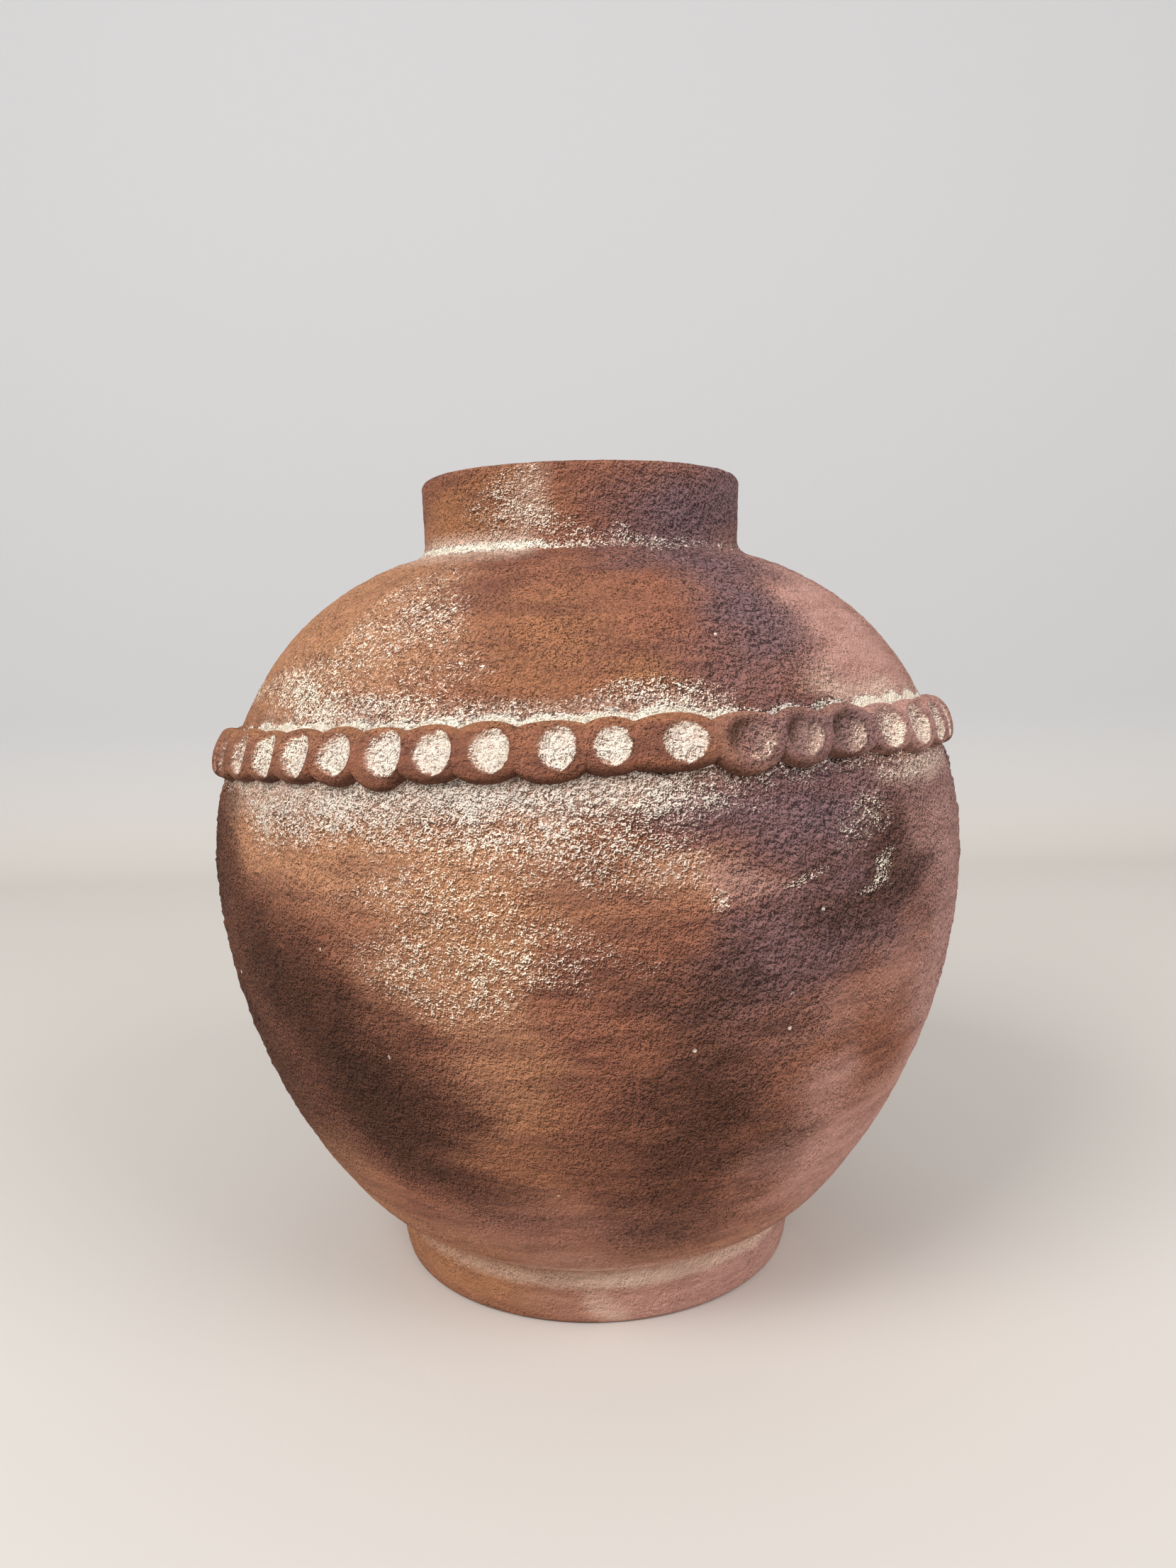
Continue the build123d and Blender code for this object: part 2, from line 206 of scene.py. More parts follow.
class JarShape(bpy.types.PropertyGroup):
    foot_height: metres("Foot height", "Height of the foot ring", 0.025)
    waist_radius: metres("Waist radius", "Radius at the crease over the foot", 0.094)
    foot_bulge: metres("Foot bulge", "How far the foot swells", 0.0025)
    foot_width: metres("Foot width", "Width of the ring it stands on", 0.014)
    floor_thickness: metres("Floor thickness", "Thickness of the floor's rim", 0.012)
    floor_rim: metres("Floor rim", "Foot wall round the floor", 0.006)
    floor_pan_inset: metres("Floor pan inset", "From the waist to the raised floor", 0.016)
    belly_radius: metres("Belly radius", "Widest radius of the wall", 0.174)
    bowl_height: metres("Bowl height", "From the foot to the widest level", 0.175)
    shoulder_height: metres("Shoulder height", "From the widest level to the neck", 0.1345)
    wall: metres("Wall", "Thickness of the wall", 0.010)
    bowl_slope: amount("Bowl slope", "Slope of the wall at the crease", radians(24), "ROTATION")
    shoulder_slope: amount("Shoulder slope", "Slope of the wall at the neck", radians(13), "ROTATION")
    bowl_fullness: amount("Bowl fullness", "Share of the bowl in its larger arc", 5.0)
    shoulder_fullness: amount("Shoulder fullness", "Share of the shoulder in its lower arc", 1.1)
    neck_radius: metres("Neck radius", "Outer radius of the neck", 0.074)
    neck_height: metres("Neck height", "From the shoulder to the lip", 0.0355)
    neck_wall: metres("Neck wall", "Thickness of the neck", 0.009)
    neck_root_flare: metres("Neck root flare", "How far the neck's root spreads", 0.006)
    neck_root_rise: metres("Neck root rise", "Height of the neck's hollow root", 0.008)
    lip_flare: metres("Lip flare", "How far the neck leans out", 0.0008)
    lip_round: metres("Lip round", "Rounding of the lip", 0.004)
    rebate_depth: metres("Rebate depth", "How deep the neck is seated", 0.0025)
    mouth_clearance: metres("Mouth clearance", "Shoulder's mouth past the bore", 0.002)
    band_rise: metres("Belt rise", "Belt over the widest level", 0.051)
    band_lift_front: metres("Belt lift at the front", "Extra height in front", 0.007)
    band_lift_right: metres("Belt lift at the right", "Extra height at the right", 0.004)
    pad_height: metres("Pad height", "Height of a pad", 0.0215)
    pad_notch_height: metres("Pad notch height", "Height of the belt between pads", 0.0172)
    pad_thickness: metres("Pad thickness", "How far a pad stands out", 0.0075)
    dimple_depth: metres("Dimple depth", "Depth of a finger mark", 0.0027)
    columns: IntProperty(name="Columns", description="Faces round the jar", default=880, min=60)
    row_step: metres("Row step", "Height of a face", 0.00125)


class ClayLook(bpy.types.PropertyGroup):
    clay: shade("Clay", "The fired clay", 149, 97, 75)
    clay_dark: shade("Dark clay", "Clay in the strokes", 124, 80, 65)
    # The tan and ochre on the left of the front, and the blush on its right, are partly painted light: the
    # warm and the cool tints of the lights there
    tan: shade("Tan", "Sun-bleached clay", 187, 137, 103)
    ochre: shade("Ochre", "Yellow-brown wash", 170, 118, 80)
    blush: shade("Blush", "Pink dusting", 184, 140, 128)
    # The soot colour also paints the shade in the crevice under the belt and in and round the finger marks
    soot_and_shade: shade("Soot", "Brown fire clouds", 74, 48, 37)
    smoke: shade("Smoke", "Purple fire clouds", 125, 98, 101)
    lime: shade("Lime", "Lime residue", 246, 233, 212)
    lime_grey: shade("Grey lime", "Weathered lime", 212, 198, 186)
    # The chalk colour also paints the highlights along the top of the foot, on the bowl over the crease and
    # on the lit lower right of the finger marks
    chalk_and_highlight: shade("Chalk", "Chalky wash", 224, 196, 176)
    grit: amount("Grit", "Height of the grit", 0.00045, "LENGTH", precision=5)


class StageLook(bpy.types.PropertyGroup):
    floor: shade("Floor", "Floor under the jar", 223, 217, 210)
    backdrop: shade("Backdrop", "Sheet behind the jar", 213, 213, 214)
    key_power: amount("Key light", "Power of the light at the left", 29.0, "POWER")
    fill_power: amount("Fill light", "Power of the light at the right", 18.0, "POWER")
    sky: amount("Sky", "Strength of the light all round", 0.46)
    surround: amount("Surround", "Brightness of the background past the backdrop", 0.65)


def smooth(values, low, high):
    """0 below low, 1 above high, and a soft step between; the other way round where low is above high."""
    share = np.clip((values - low) / (high - low), 0, 1)
    return share * share * (3 - 2 * share)


def lumps(points, size, seed):
    """Smooth random lumps from -1 to 1, about one size apart, a number for each point."""
    place = points / size + 31.7 * seed
    cell = np.floor(place).astype(np.int64)
    share = place - cell
    share = share * share * share * (share * (share * 6 - 15) + 10)
    total = np.zeros(points.shape[:-1])
    for corner in product((0, 1), repeat=3):
        at = cell + np.array(corner)
        code = (at[..., 0] * 73856093) ^ (at[..., 1] * 19349663) ^ (at[..., 2] * 83492791)
        code = (code ^ (code >> 13)) * 1274126177
        value = ((code ^ (code >> 16)) & 0xFFFF) / 32767.5 - 1
        weight = np.prod(np.where(corner, share, 1 - share), axis=-1)
        total += value * weight
    return total


def layered(points, *layers):
    """A sum of random lumps: strength, size and seed of each layer."""
    return sum(strength * lumps(points, size, seed) for strength, size, seed in layers)


def arc_points(start, way, end, step):
    """Points along the arc that touches way at start and passes to end, start and end included."""
    chord = end - start
    across = np.array([-way[1], way[0]])
    radius = chord @ chord / (2 * chord @ across)
    centre = start + across * radius
    first = atan2(start[1] - centre[1], start[0] - centre[0])
    last = atan2(end[1] - centre[1], end[0] - centre[0])
    turn = (last - first + pi) % (2 * pi) - pi
    count = max(2, ceil(abs(turn * radius) / step))
    angles = first + turn * np.linspace(0, 1, count + 1)
    return centre + abs(radius) * np.stack([np.cos(angles), np.sin(angles)], -1)


def two_arcs(start, start_way, end, end_way, fullness, step):
    """Points along two arcs, tangent where they meet, from start to end along the given directions."""
    chord = end - start
    a = 2 * fullness * (1 - start_way @ end_way)
    b = 2 * chord @ (start_way * fullness + end_way)
    reach = (sqrt(b * b + 4 * a * chord @ chord) - b) / (2 * a)
    knot = (start + start_way * fullness * reach + (end - end_way * reach) * fullness) / (1 + fullness)
    first = arc_points(start, start_way, knot, step)
    second = arc_points(end, end_way, knot, step)
    return np.concatenate([first, second[-2::-1]])


class Profile:
    """Radius and height of the jar's skin, up the outside from the ground, over the lip and down the bore."""

    def __init__(self, shape):
        step = shape.row_step
        belly = np.array([shape.belly_radius, shape.foot_height + shape.bowl_height])
        waist = np.array([shape.waist_radius, shape.foot_height])
        neck = np.array([shape.neck_radius, belly[1] + shape.shoulder_height])
        down = np.array([-cos(shape.bowl_slope), -sin(shape.bowl_slope)])
        inward = np.array([-cos(shape.shoulder_slope), sin(shape.shoulder_slope)])
        bowl = two_arcs(belly, np.array([0.0, -1.0]), waist, down, shape.bowl_fullness, step)[::-1]
        dome = two_arcs(belly, np.array([0.0, 1.0]), neck, inward, shape.shoulder_fullness, step)
        root = shape.neck_radius + shape.neck_root_flare
        wall = np.concatenate([bowl, dome[1:]])
        wall = wall[(wall[:, 0] > root + step / 2) | (wall[:, 1] < belly[1])]
        root_level = np.interp(-root, -dome[:, 0], dome[:, 1])
        lip_level = neck[1] + shape.neck_height
        self.foot = self.foot_rows(shape, step / 2)
        collar = self.collar_rows(shape, np.array([root, root_level]), lip_level, step * 0.7)
        self.points = np.concatenate([self.foot, wall[1:], collar])
        self.crease_row = len(self.foot) - 1
        self.root_row = len(self.foot) + len(wall) - 1
        self.soften(self.crease_row, passes=5)
        levels = [shape.foot_height + shape.bowl_height * share for share in BOWL_JOINTS]
        levels += [belly[1] + shape.band_rise, belly[1] + shape.shoulder_height * SHOULDER_JOINT]
        heights = self.points[self.crease_row : self.root_row + 1, 1]
        self.seams = [self.crease_row]
        self.seams += [self.crease_row + int(np.searchsorted(heights, level)) for level in levels]
        self.seams += [self.root_row]

    @staticmethod
    def foot_rows(shape, step):
        half = shape.foot_height / 2
        swell = (half * half + shape.foot_bulge**2) / (2 * shape.foot_bulge)
        heights = np.linspace(0, 1, ceil(shape.foot_height / step) + 1) ** 1.3 * shape.foot_height
        radii = shape.waist_radius + shape.foot_bulge - swell + np.sqrt(swell**2 - (heights - half) ** 2)
        edge = shape.foot_bulge
        short = np.clip((edge - heights) / edge, 0, 1)
        return np.stack([radii - edge * (1 - np.sqrt(1 - short**2)), heights], -1)

    @staticmethod
    def collar_rows(shape, root, lip_level, step):
        foot = np.array([shape.neck_radius, root[1] + shape.neck_root_rise])
        hollow = arc_points(foot, np.array([0.0, -1.0]), root, step)[::-1]
        crown, lip_steps, bore_steps = shape.lip_round, 8, 24
        bead = crown * 0.75
        outer = np.array([shape.neck_radius + shape.lip_flare, lip_level - crown])
        rise = np.linspace(0, 1, ceil((outer[1] - foot[1]) / step) + 1)[1:, None]
        side = foot + (outer - foot) * rise
        turns = np.linspace(0, pi / 2, lip_steps)[1:, None]
        middle = outer - [crown, 0]
        lip = middle + crown * np.concatenate([np.cos(turns), np.sin(turns)], 1)
        inside = shape.neck_radius - shape.neck_wall
        bend = np.array([inside + bead, lip_level - bead])
        over = bend + bead * np.concatenate([-np.sin(turns), np.cos(turns)], 1)
        seat = root[1] - shape.rebate_depth
        drop = np.linspace(0, 1, bore_steps)[1:, None]
        bore = np.array([inside, bend[1]]) + np.array([0, seat - bend[1]]) * drop
        top = np.array([[(middle[0] + bend[0]) / 2, lip_level], [bend[0], lip_level]])
        return np.concatenate([hollow, side, lip, top, over, bore])

    def soften(self, row, passes):
        """Rounds the profile off near a row."""
        near = slice(row - passes, row + passes + 1)
        for _ in range(passes):
            self.points[near] = (
                self.points[row - passes - 1 : row + passes]
                + 2 * self.points[near]
                + self.points[row - passes + 1 : row + passes + 2]
            ) / 4

    def normals(self):
        along = np.gradient(self.points, axis=0)
        out = np.stack([along[:, 1], -along[:, 0]], -1)
        return out / np.linalg.norm(out, axis=1, keepdims=True)


def band_height(shape, azimuth):
    """Middle of the belt, which was laid by eye: higher at the front and at the right."""
    level = shape.foot_height + shape.bowl_height + shape.band_rise
    lift = shape.band_lift_front * np.cos(azimuth) + shape.band_lift_right * np.sin(azimuth)
    return level + lift - BELT_SAG


def belt_radius(shape):
    """Radius of the wall behind the belt, near enough for widths along it."""
    return shape.belly_radius - 0.003


def pad_edges():
    """Where neighbouring pads meet, all the way round, in radians."""
    edges = [radians(edge) for edge in FRONT_EDGES]
    rear = len(PADS) + 1 - len(edges)
    widths = [1 + 0.1 * sin(2.4 * step) for step in range(rear)]
    left_over = 2 * pi - (edges[-1] - edges[0])
    for width in widths:
        edges.append(edges[-1] + left_over * width / sum(widths))
    return np.array(edges)


def pad_marks():
    """Shift in radians, width, height, hang, depth and lime of every pad: seen ones, then invented ones."""
    marks = []
    for shift, wide, tall, hang, deep, lime in FRONT_MARKS:
        marks.append((radians(shift), wide / 1000, tall / 1000, hang / 1000, deep, lime))
    for step in range(len(PADS) - len(marks)):
        shift = radians(0.5 + 0.6 * sin(1.9 * step))
        wide = 0.0152 + 0.0011 * sin(2.7 * step + 0.4)
        tall = 0.0162 + 0.0008 * sin(3.3 * step + 1.0)
        hang = 0.0008 + 0.0008 * sin(2.2 * step)
        deep = 1.1 + 0.15 * sin(1.1 * step)
        lime = 0.62 + 0.34 * sin(0.7 * step + 0.9 * sin(1.3 * step))
        marks.append((shift, wide, tall, hang, deep, lime))
    return np.array(marks)


def parted(azimuth):
    """How clearly the pads stand apart from each other, 0 to 1: most at the right of the front."""
    at = (np.degrees(azimuth) + 75) % 360 - 75
    return np.interp(at, [-75, 6, 18, 60, 90, 285], [0.3, 0.1, 1.0, 1.0, 0.5, 0.3])


def belt_outline(shape, azimuth):
    """Half height of the belt above and below its middle, scalloped from pad to pad, and the place across
    each pad, from -1 at its left edge to 1 at its right."""
    edges = pad_edges()
    turned = (azimuth - edges[0]) % (2 * pi) + edges[0]
    pad = np.clip(np.searchsorted(edges, turned, side="right") - 1, 0, len(PADS) - 1)
    middle = (edges[pad] + edges[pad + 1]) / 2
    across = np.clip((turned - middle) / (edges[pad + 1] - edges[pad]) * 2, -1, 1)
    arch = 1 - np.abs(across) ** 2.2
    full = shape.pad_height / 2
    notch = shape.pad_notch_height / 2 - 0.0010 * parted(azimuth)
    above = notch + (full - notch) * arch * (1 + 0.22 * np.sin(2.1 * pad))
    below = notch + ((full - notch) * (1 + 0.30 * np.sin(1.7 * pad + 1)) + pad_marks()[pad, 3]) * arch
    return above, below, across


def patch_field(kind, azimuth, height):
    """Strength of one colour's patches, 0 to 1. Azimuth in degrees, height in millimetres."""
    clear = np.ones_like(height)
    for middle, level, wide, tall, lean, strength in PATCHES[kind]:
        across = (azimuth - middle - lean * (height - level) + 180) % 360 - 180
        reach = np.sqrt((across / wide) ** 2 + ((height - level) / tall) ** 2)
        clear *= 1 - np.clip(strength * smooth(reach, *PATCH_EDGES.get(kind, (1.35, 0.3))), 0, 1)
    return 1 - clear


def line_strength(table, azimuth):
    """Strength of a line at these azimuths, in degrees, between those of its table."""
    at = [place for place, _ in table]
    return np.interp((azimuth + 75) % 360 - 75, at, [strength for _, strength in table])


def draw_lines(shape, points, azimuth, masks):
    """Adds the lime and chalk along the belt and the neck's root, with a pale glow round the brightest lines,
    chalk under the belt, a painted highlight along the top of the foot and on the bowl just over the crease,
    and soot with painted shade in the crevice under the belt. Gaps and widths are in millimetres."""
    highlight_level, shelf_level, root_rise = 21, 30, 0.0012
    hug = 900  # puts the lines at nine tenths of the belt's half height
    height = points[..., 2] * 1000
    angle = np.radians(azimuth)
    above, below, _ = belt_outline(shape, angle)
    over_belt = (points[..., 2] - band_height(shape, angle)) * 1000
    rise, fall = over_belt - above * hug, -over_belt - below * hug
    ragged = layered(points, (0.9, 0.004, 8), (0.6, 0.0021, 9))
    belt_line = line_strength(BELT_LINE, azimuth)
    width = 4.6 * (belt_line - 0.4)
    line = smooth(rise + 0.6 * ragged, width + 1.2, width - 1.0) * smooth(rise, -5, -2) * belt_line
    glow = 0.35 * smooth(rise + 2 * ragged, 12, 2) * smooth(rise, -5, -2) * smooth(belt_line, 1.0, 1.3)
    fringe = smooth(fall + 2 * ragged, 10, 1) * smooth(fall, -4, 0) * line_strength(BELT_FRINGE, azimuth)
    root = shape.foot_height + shape.bowl_height + shape.shoulder_height
    gap = np.abs(points[..., 2] - root - root_rise) * 1000
    root_line = line_strength(ROOT_LINE, azimuth)
    line = np.maximum(line, smooth(gap + 0.5 * ragged, 2.6, 1.0) * root_line)
    glow = np.maximum(glow, 0.7 * smooth(gap, 9, 1) * smooth(root_line, 0.8, 1.3))
    masks["lime"] = np.maximum(np.maximum(masks["lime"], fringe), line)
    # Painted highlight along the top edge of the foot, where it catches the light
    foot_highlight = smooth(np.abs(height - highlight_level) + 0.6 * ragged, 5, 1) * line_strength(FOOT_HIGHLIGHT, azimuth)
    # Painted highlight on the bowl just over the crease
    shelf = 0.3 * smooth(np.abs(height - shelf_level) + ragged, 7, 2)
    under = 0.65 * smooth(fall + 3 * ragged, 18, 2) * smooth(fall, -4, 0)
    under = under * smooth(np.abs(azimuth + 24), 44, 24)
    for pale_layer in (glow, foot_highlight, shelf, under):
        masks["chalk_and_highlight"] = np.clip(np.maximum(masks["chalk_and_highlight"], pale_layer), 0, 1)
    # Soot and painted shade in the crevice under the belt
    crevice = smooth(np.abs(fall + 0.5) + 0.5 * ragged, 2.0, 0.3)
    masks["soot_and_shade"] = np.maximum(masks["soot_and_shade"], 0.7 * crevice)


def paint(shape, points):
    """How much of each colour lies on these points of the outside, as one array per name."""
    azimuth = np.degrees(np.arctan2(points[..., 0], -points[..., 1]))
    height = points[..., 2] * 1000
    flat = points * [1, 1, 1.8]
    warp_az = layered(flat, (6, 0.045, 3), (2.5, 0.016, 4))
    warp_up = layered(points, (9, 0.05, 5), (3.5, 0.018, 6))
    masks = {kind: patch_field(kind, azimuth + warp_az, height + warp_up) for kind in PATCHES}
    fade = 0.5 + 0.5 * lumps(flat, 0.011, 7)
    masks["lime"] = np.clip(masks["lime"] * (0.72 + 0.5 * fade), 0, 1)
    draw_lines(shape, points, azimuth, masks)
    bore, dark_edge, pale_edge = shape.neck_radius - shape.neck_wall, 0.0015, 0.0045
    inside = smooth(np.hypot(points[..., 0], points[..., 1]), bore + pale_edge, bore + dark_edge)
    for kind in PATCHES:
        masks[kind] = masks[kind] + inside * (INSIDE.get(kind, 0) - masks[kind])
    rough = 0.72 + 0.5 * np.minimum(masks["lime"], 1) + 0.8 * masks["smoke"] + 0.65 * masks["soot_and_shade"]
    rough = rough - 0.2 * masks["tan"] - 0.42 * masks["blush"] - 0.3 * smooth(height, 130, 60)
    masks["rough"] = np.clip(rough, 0.3, 1.5) * (1 - 0.15 * smooth(height, 34, 26))
    return masks


def relief(shape, look, points, masks):
    """How far the clay stands out from the plain turned shape."""
    height = points[..., 2]
    belly = shape.foot_height + shape.bowl_height
    flat_level = belly + 0.062
    fuller = 0.0008 * np.exp(-(((height - belly) / 0.045) ** 2))
    flatter = 0.0010 * np.exp(-(((height - flat_level) / 0.025) ** 2))
    slow = layered(points, (0.0007, 0.13, 11), (0.0003, 0.045, 12))
    strokes = layered(points * [1, 1, 7], (0.00016, 0.05, 13))
    flat = points * [1, 1, 1.5]
    clods = (2.4 * masks["smoke"] + 0.8 * masks["soot_and_shade"]) * lumps(flat, 0.0050, 16)
    grit = layered(flat, (0.8, 0.0042, 14), (1, 0.0027, 15)) + clods
    free = smooth(height, 0.0, 0.006) * (1 - 0.8 * smooth(height, 0.330, 0.338))
    return fuller - flatter + strokes + (slow + look.grit * grit * masks["rough"]) * free


def turned_points(rows, azimuths):
    """Rows of radius and height, turned round the axis: rows by columns by 3."""
    radius = rows[:, 0][:, None]
    level = np.broadcast_to(rows[:, 1][:, None], (len(rows), len(azimuths)))
    return np.stack([radius * np.sin(azimuths), -radius * np.cos(azimuths), level], -1)


def skin(shape, look, profile, first, last):
    """Points, normals and colours of the finished outside, for these rows of the profile."""
    low, high = max(first - 1, 0), min(last + 1, len(profile.points) - 1)
    azimuths = np.linspace(-pi, pi, shape.columns, endpoint=False)
    plain = turned_points(profile.points[low : high + 1], azimuths)
    way = profile.normals()[low : high + 1]
    out = turned_points(way, azimuths)
    masks = paint(shape, plain)
    points = plain + out * relief(shape, look, plain, masks)[..., None]
    along = np.gradient(points, axis=0)
    round_ = np.roll(points, -1, axis=1) - np.roll(points, 1, axis=1)
    normals = np.cross(round_, along)
    normals /= np.linalg.norm(normals, axis=-1, keepdims=True)
    keep = slice(first - low, last - low + 1)
    return points[keep], normals[keep], {kind: values[keep] for kind, values in masks.items()}


def ring_faces(count, columns, strips):
    """Four-sided faces between each ring of points and the next; the last ring is followed by the first."""
    ring, column = np.meshgrid(np.arange(strips), np.arange(columns), indexing="ij")
    ring_on, column_on = (ring + 1) % count, (column + 1) % columns
    corners = [(ring, column), (ring, column_on), (ring_on, column_on), (ring_on, column)]
    return np.stack([r * columns + c for r, c in corners], -1).reshape(-1, 4)


class Shell:
    """Rings of points round the axis, each joined to the next and the last to the first: a closed mesh."""

    def __init__(self, columns):
        self.azimuths = np.linspace(-pi, pi, columns, endpoint=False)
        self.rings = []
        self.normals = []
        self.masks = {kind: [] for kind in LAYERS}

    def add_skin(self, points, normals, masks):
        self.rings.append(points)
        self.normals.append(normals)
        for kind in LAYERS:
            self.masks[kind].append(masks[kind])

    def add_rows(self, rows, normals=None, **tints):
        """Plain turned rows of radius and height, with one colour strength each."""
        rows = np.asarray(rows, float)
        points = turned_points(rows, self.azimuths)
        way = np.zeros_like(rows) if normals is None else np.asarray(normals, float)
        self.rings.append(points)
        self.normals.append(turned_points(way, self.azimuths))
        tints.setdefault("rough", 0.5)
        for kind in LAYERS:
            self.masks[kind].append(np.full(points.shape[:2], tints.get(kind, 0.0)))

    def mesh(self, name):
        rings = np.concatenate(self.rings)
        count, columns = rings.shape[:2]
        mesh = bpy.data.meshes.new(name)
        faces = ring_faces(count, columns, count).tolist()
        mesh.from_pydata(rings.reshape(-1, 3).tolist(), [], faces, shade_flat=False)
        self.map_faces(mesh, rings)
        mesh.normals_split_custom_set_from_vertices(np.concatenate(self.normals).reshape(-1, 3).tolist())
        for kind, values in self.masks.items():
            give_values(mesh, kind, np.concatenate(values))
        return mesh

    @staticmethod
    def map_faces(mesh, rings):
        """Lays the turned surface out flat for baking, in strips one above the other."""
        count, columns = rings.shape[:2]
        steps = np.linalg.norm(np.roll(rings, -1, axis=0) - rings, axis=-1).mean(1)
        length = steps.sum()
        girth = 2 * pi * np.linalg.norm(rings[..., :2], axis=-1).max()
        strips = max(1, round(sqrt(girth / length)))
        per_strip = ceil(columns / strips)
        low = np.concatenate([[0], np.cumsum(steps)[:-1]]) / length
        high = np.cumsum(steps) / length
        column = np.arange(columns)
        strip, place = column // per_strip, column % per_strip
        left, right = place / per_strip, (place + 1) / per_strip
        margin = 0.004
        u = np.stack([left, right, right, left], -1) * (1 - 2 * margin) + margin
        v = np.stack([low, low, high, high], -1)
        v = (strip[None, :, None] + margin * strips + v[:, None, :] * (1 - 2 * margin * strips)) / strips
        u = np.broadcast_to(u[None], (count, columns, 4))
        layer = mesh.uv_layers.new(name="OFBake")
        layer.data.foreach_set("uv", np.stack([u, v], -1).astype(np.float32).ravel())


def give_values(mesh, kind, values):
    layer = mesh.attributes.new(kind, "FLOAT", "POINT")
    layer.data.foreach_set("value", values.astype(np.float32).ravel())


def place(name, mesh, node, material, slot):
    """Puts a finished mesh in the scene in place of its CAD node, on the jar's one body."""
    piece = bpy.data.objects.new(name, mesh)
    bpy.context.scene.collection.objects.link(piece)
    mesh.materials.append(material)
    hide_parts(node)
    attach(piece, BODY)
    return piece


class Nodes:
    """Adds shader nodes to a material and joins them up."""

    def __init__(self, tree):
        self.tree = tree

    def add(self, kind, **settings):
        node = self.tree.nodes.new(kind)
        for name, value in settings.items():
            setattr(node, name, value)
        return node

    def feed(self, socket, value):
        if isinstance(value, bpy.types.NodeSocket):
            self.tree.links.new(value, socket)
        else:
            socket.default_value = value

    def math(self, operation, a, b=0.0, clamp=False):
        node = self.add("ShaderNodeMath", operation=operation, use_clamp=clamp)
        self.feed(node.inputs[0], a)
        self.feed(node.inputs[1], b)
        return node.outputs[0]

    def times(self, a, b, clamp=False):
        return self.math("MULTIPLY", a, b, clamp)

    def plus(self, a, b, clamp=False):
        return self.math("ADD", a, b, clamp)

    def minus(self, a, b):
        return self.math("SUBTRACT", a, b)

    def ramp(self, value, low, high, to_low=0.0, to_high=1.0):
        """A soft step from to_low to to_high as value goes from low to high."""
        node = self.add("ShaderNodeMapRange", interpolation_type="SMOOTHSTEP")
        for socket, item in zip(node.inputs, (value, low, high, to_low, to_high)):
            self.feed(socket, item)
        return node.outputs[0]

    def mix(self, share, a, b, blend="MIX"):
        node = self.add("ShaderNodeMix", data_type="RGBA", blend_type=blend)
        self.feed(node.inputs[0], share)
        for socket, item in ((node.inputs[6], a), (node.inputs[7], b)):
            self.feed(socket, item if isinstance(item, bpy.types.NodeSocket) else (*item, 1))
        return node.outputs[2]

    def noise(self, where, scale, detail, roughness=0.55, distortion=0.0):
        node = self.add("ShaderNodeTexNoise")
        settings = {"Scale": scale, "Detail": detail, "Roughness": roughness, "Distortion": distortion}
        self.feed(node.inputs["Vector"], where)
        for name, value in settings.items():
            self.feed(node.inputs[name], value)
        return node.outputs["Fac"]

    def stretched(self, where, scale):
        node = self.add("ShaderNodeMapping")
        self.feed(node.inputs["Vector"], where)
        self.feed(node.inputs["Scale"], scale)
        return node.outputs[0]

    def moved(self, where, step):
        node = self.add("ShaderNodeVectorMath", operation="ADD")
        self.feed(node.inputs[0], where)
        self.feed(node.inputs[1], step)
        return node.outputs[0]

    def grey(self, value):
        node = self.add("ShaderNodeCombineColor")
        for socket in node.inputs:
            self.feed(socket, value)
        return node.outputs[0]

    def value_of(self, kind):
        return self.add("ShaderNodeAttribute", attribute_name=kind).outputs["Fac"]


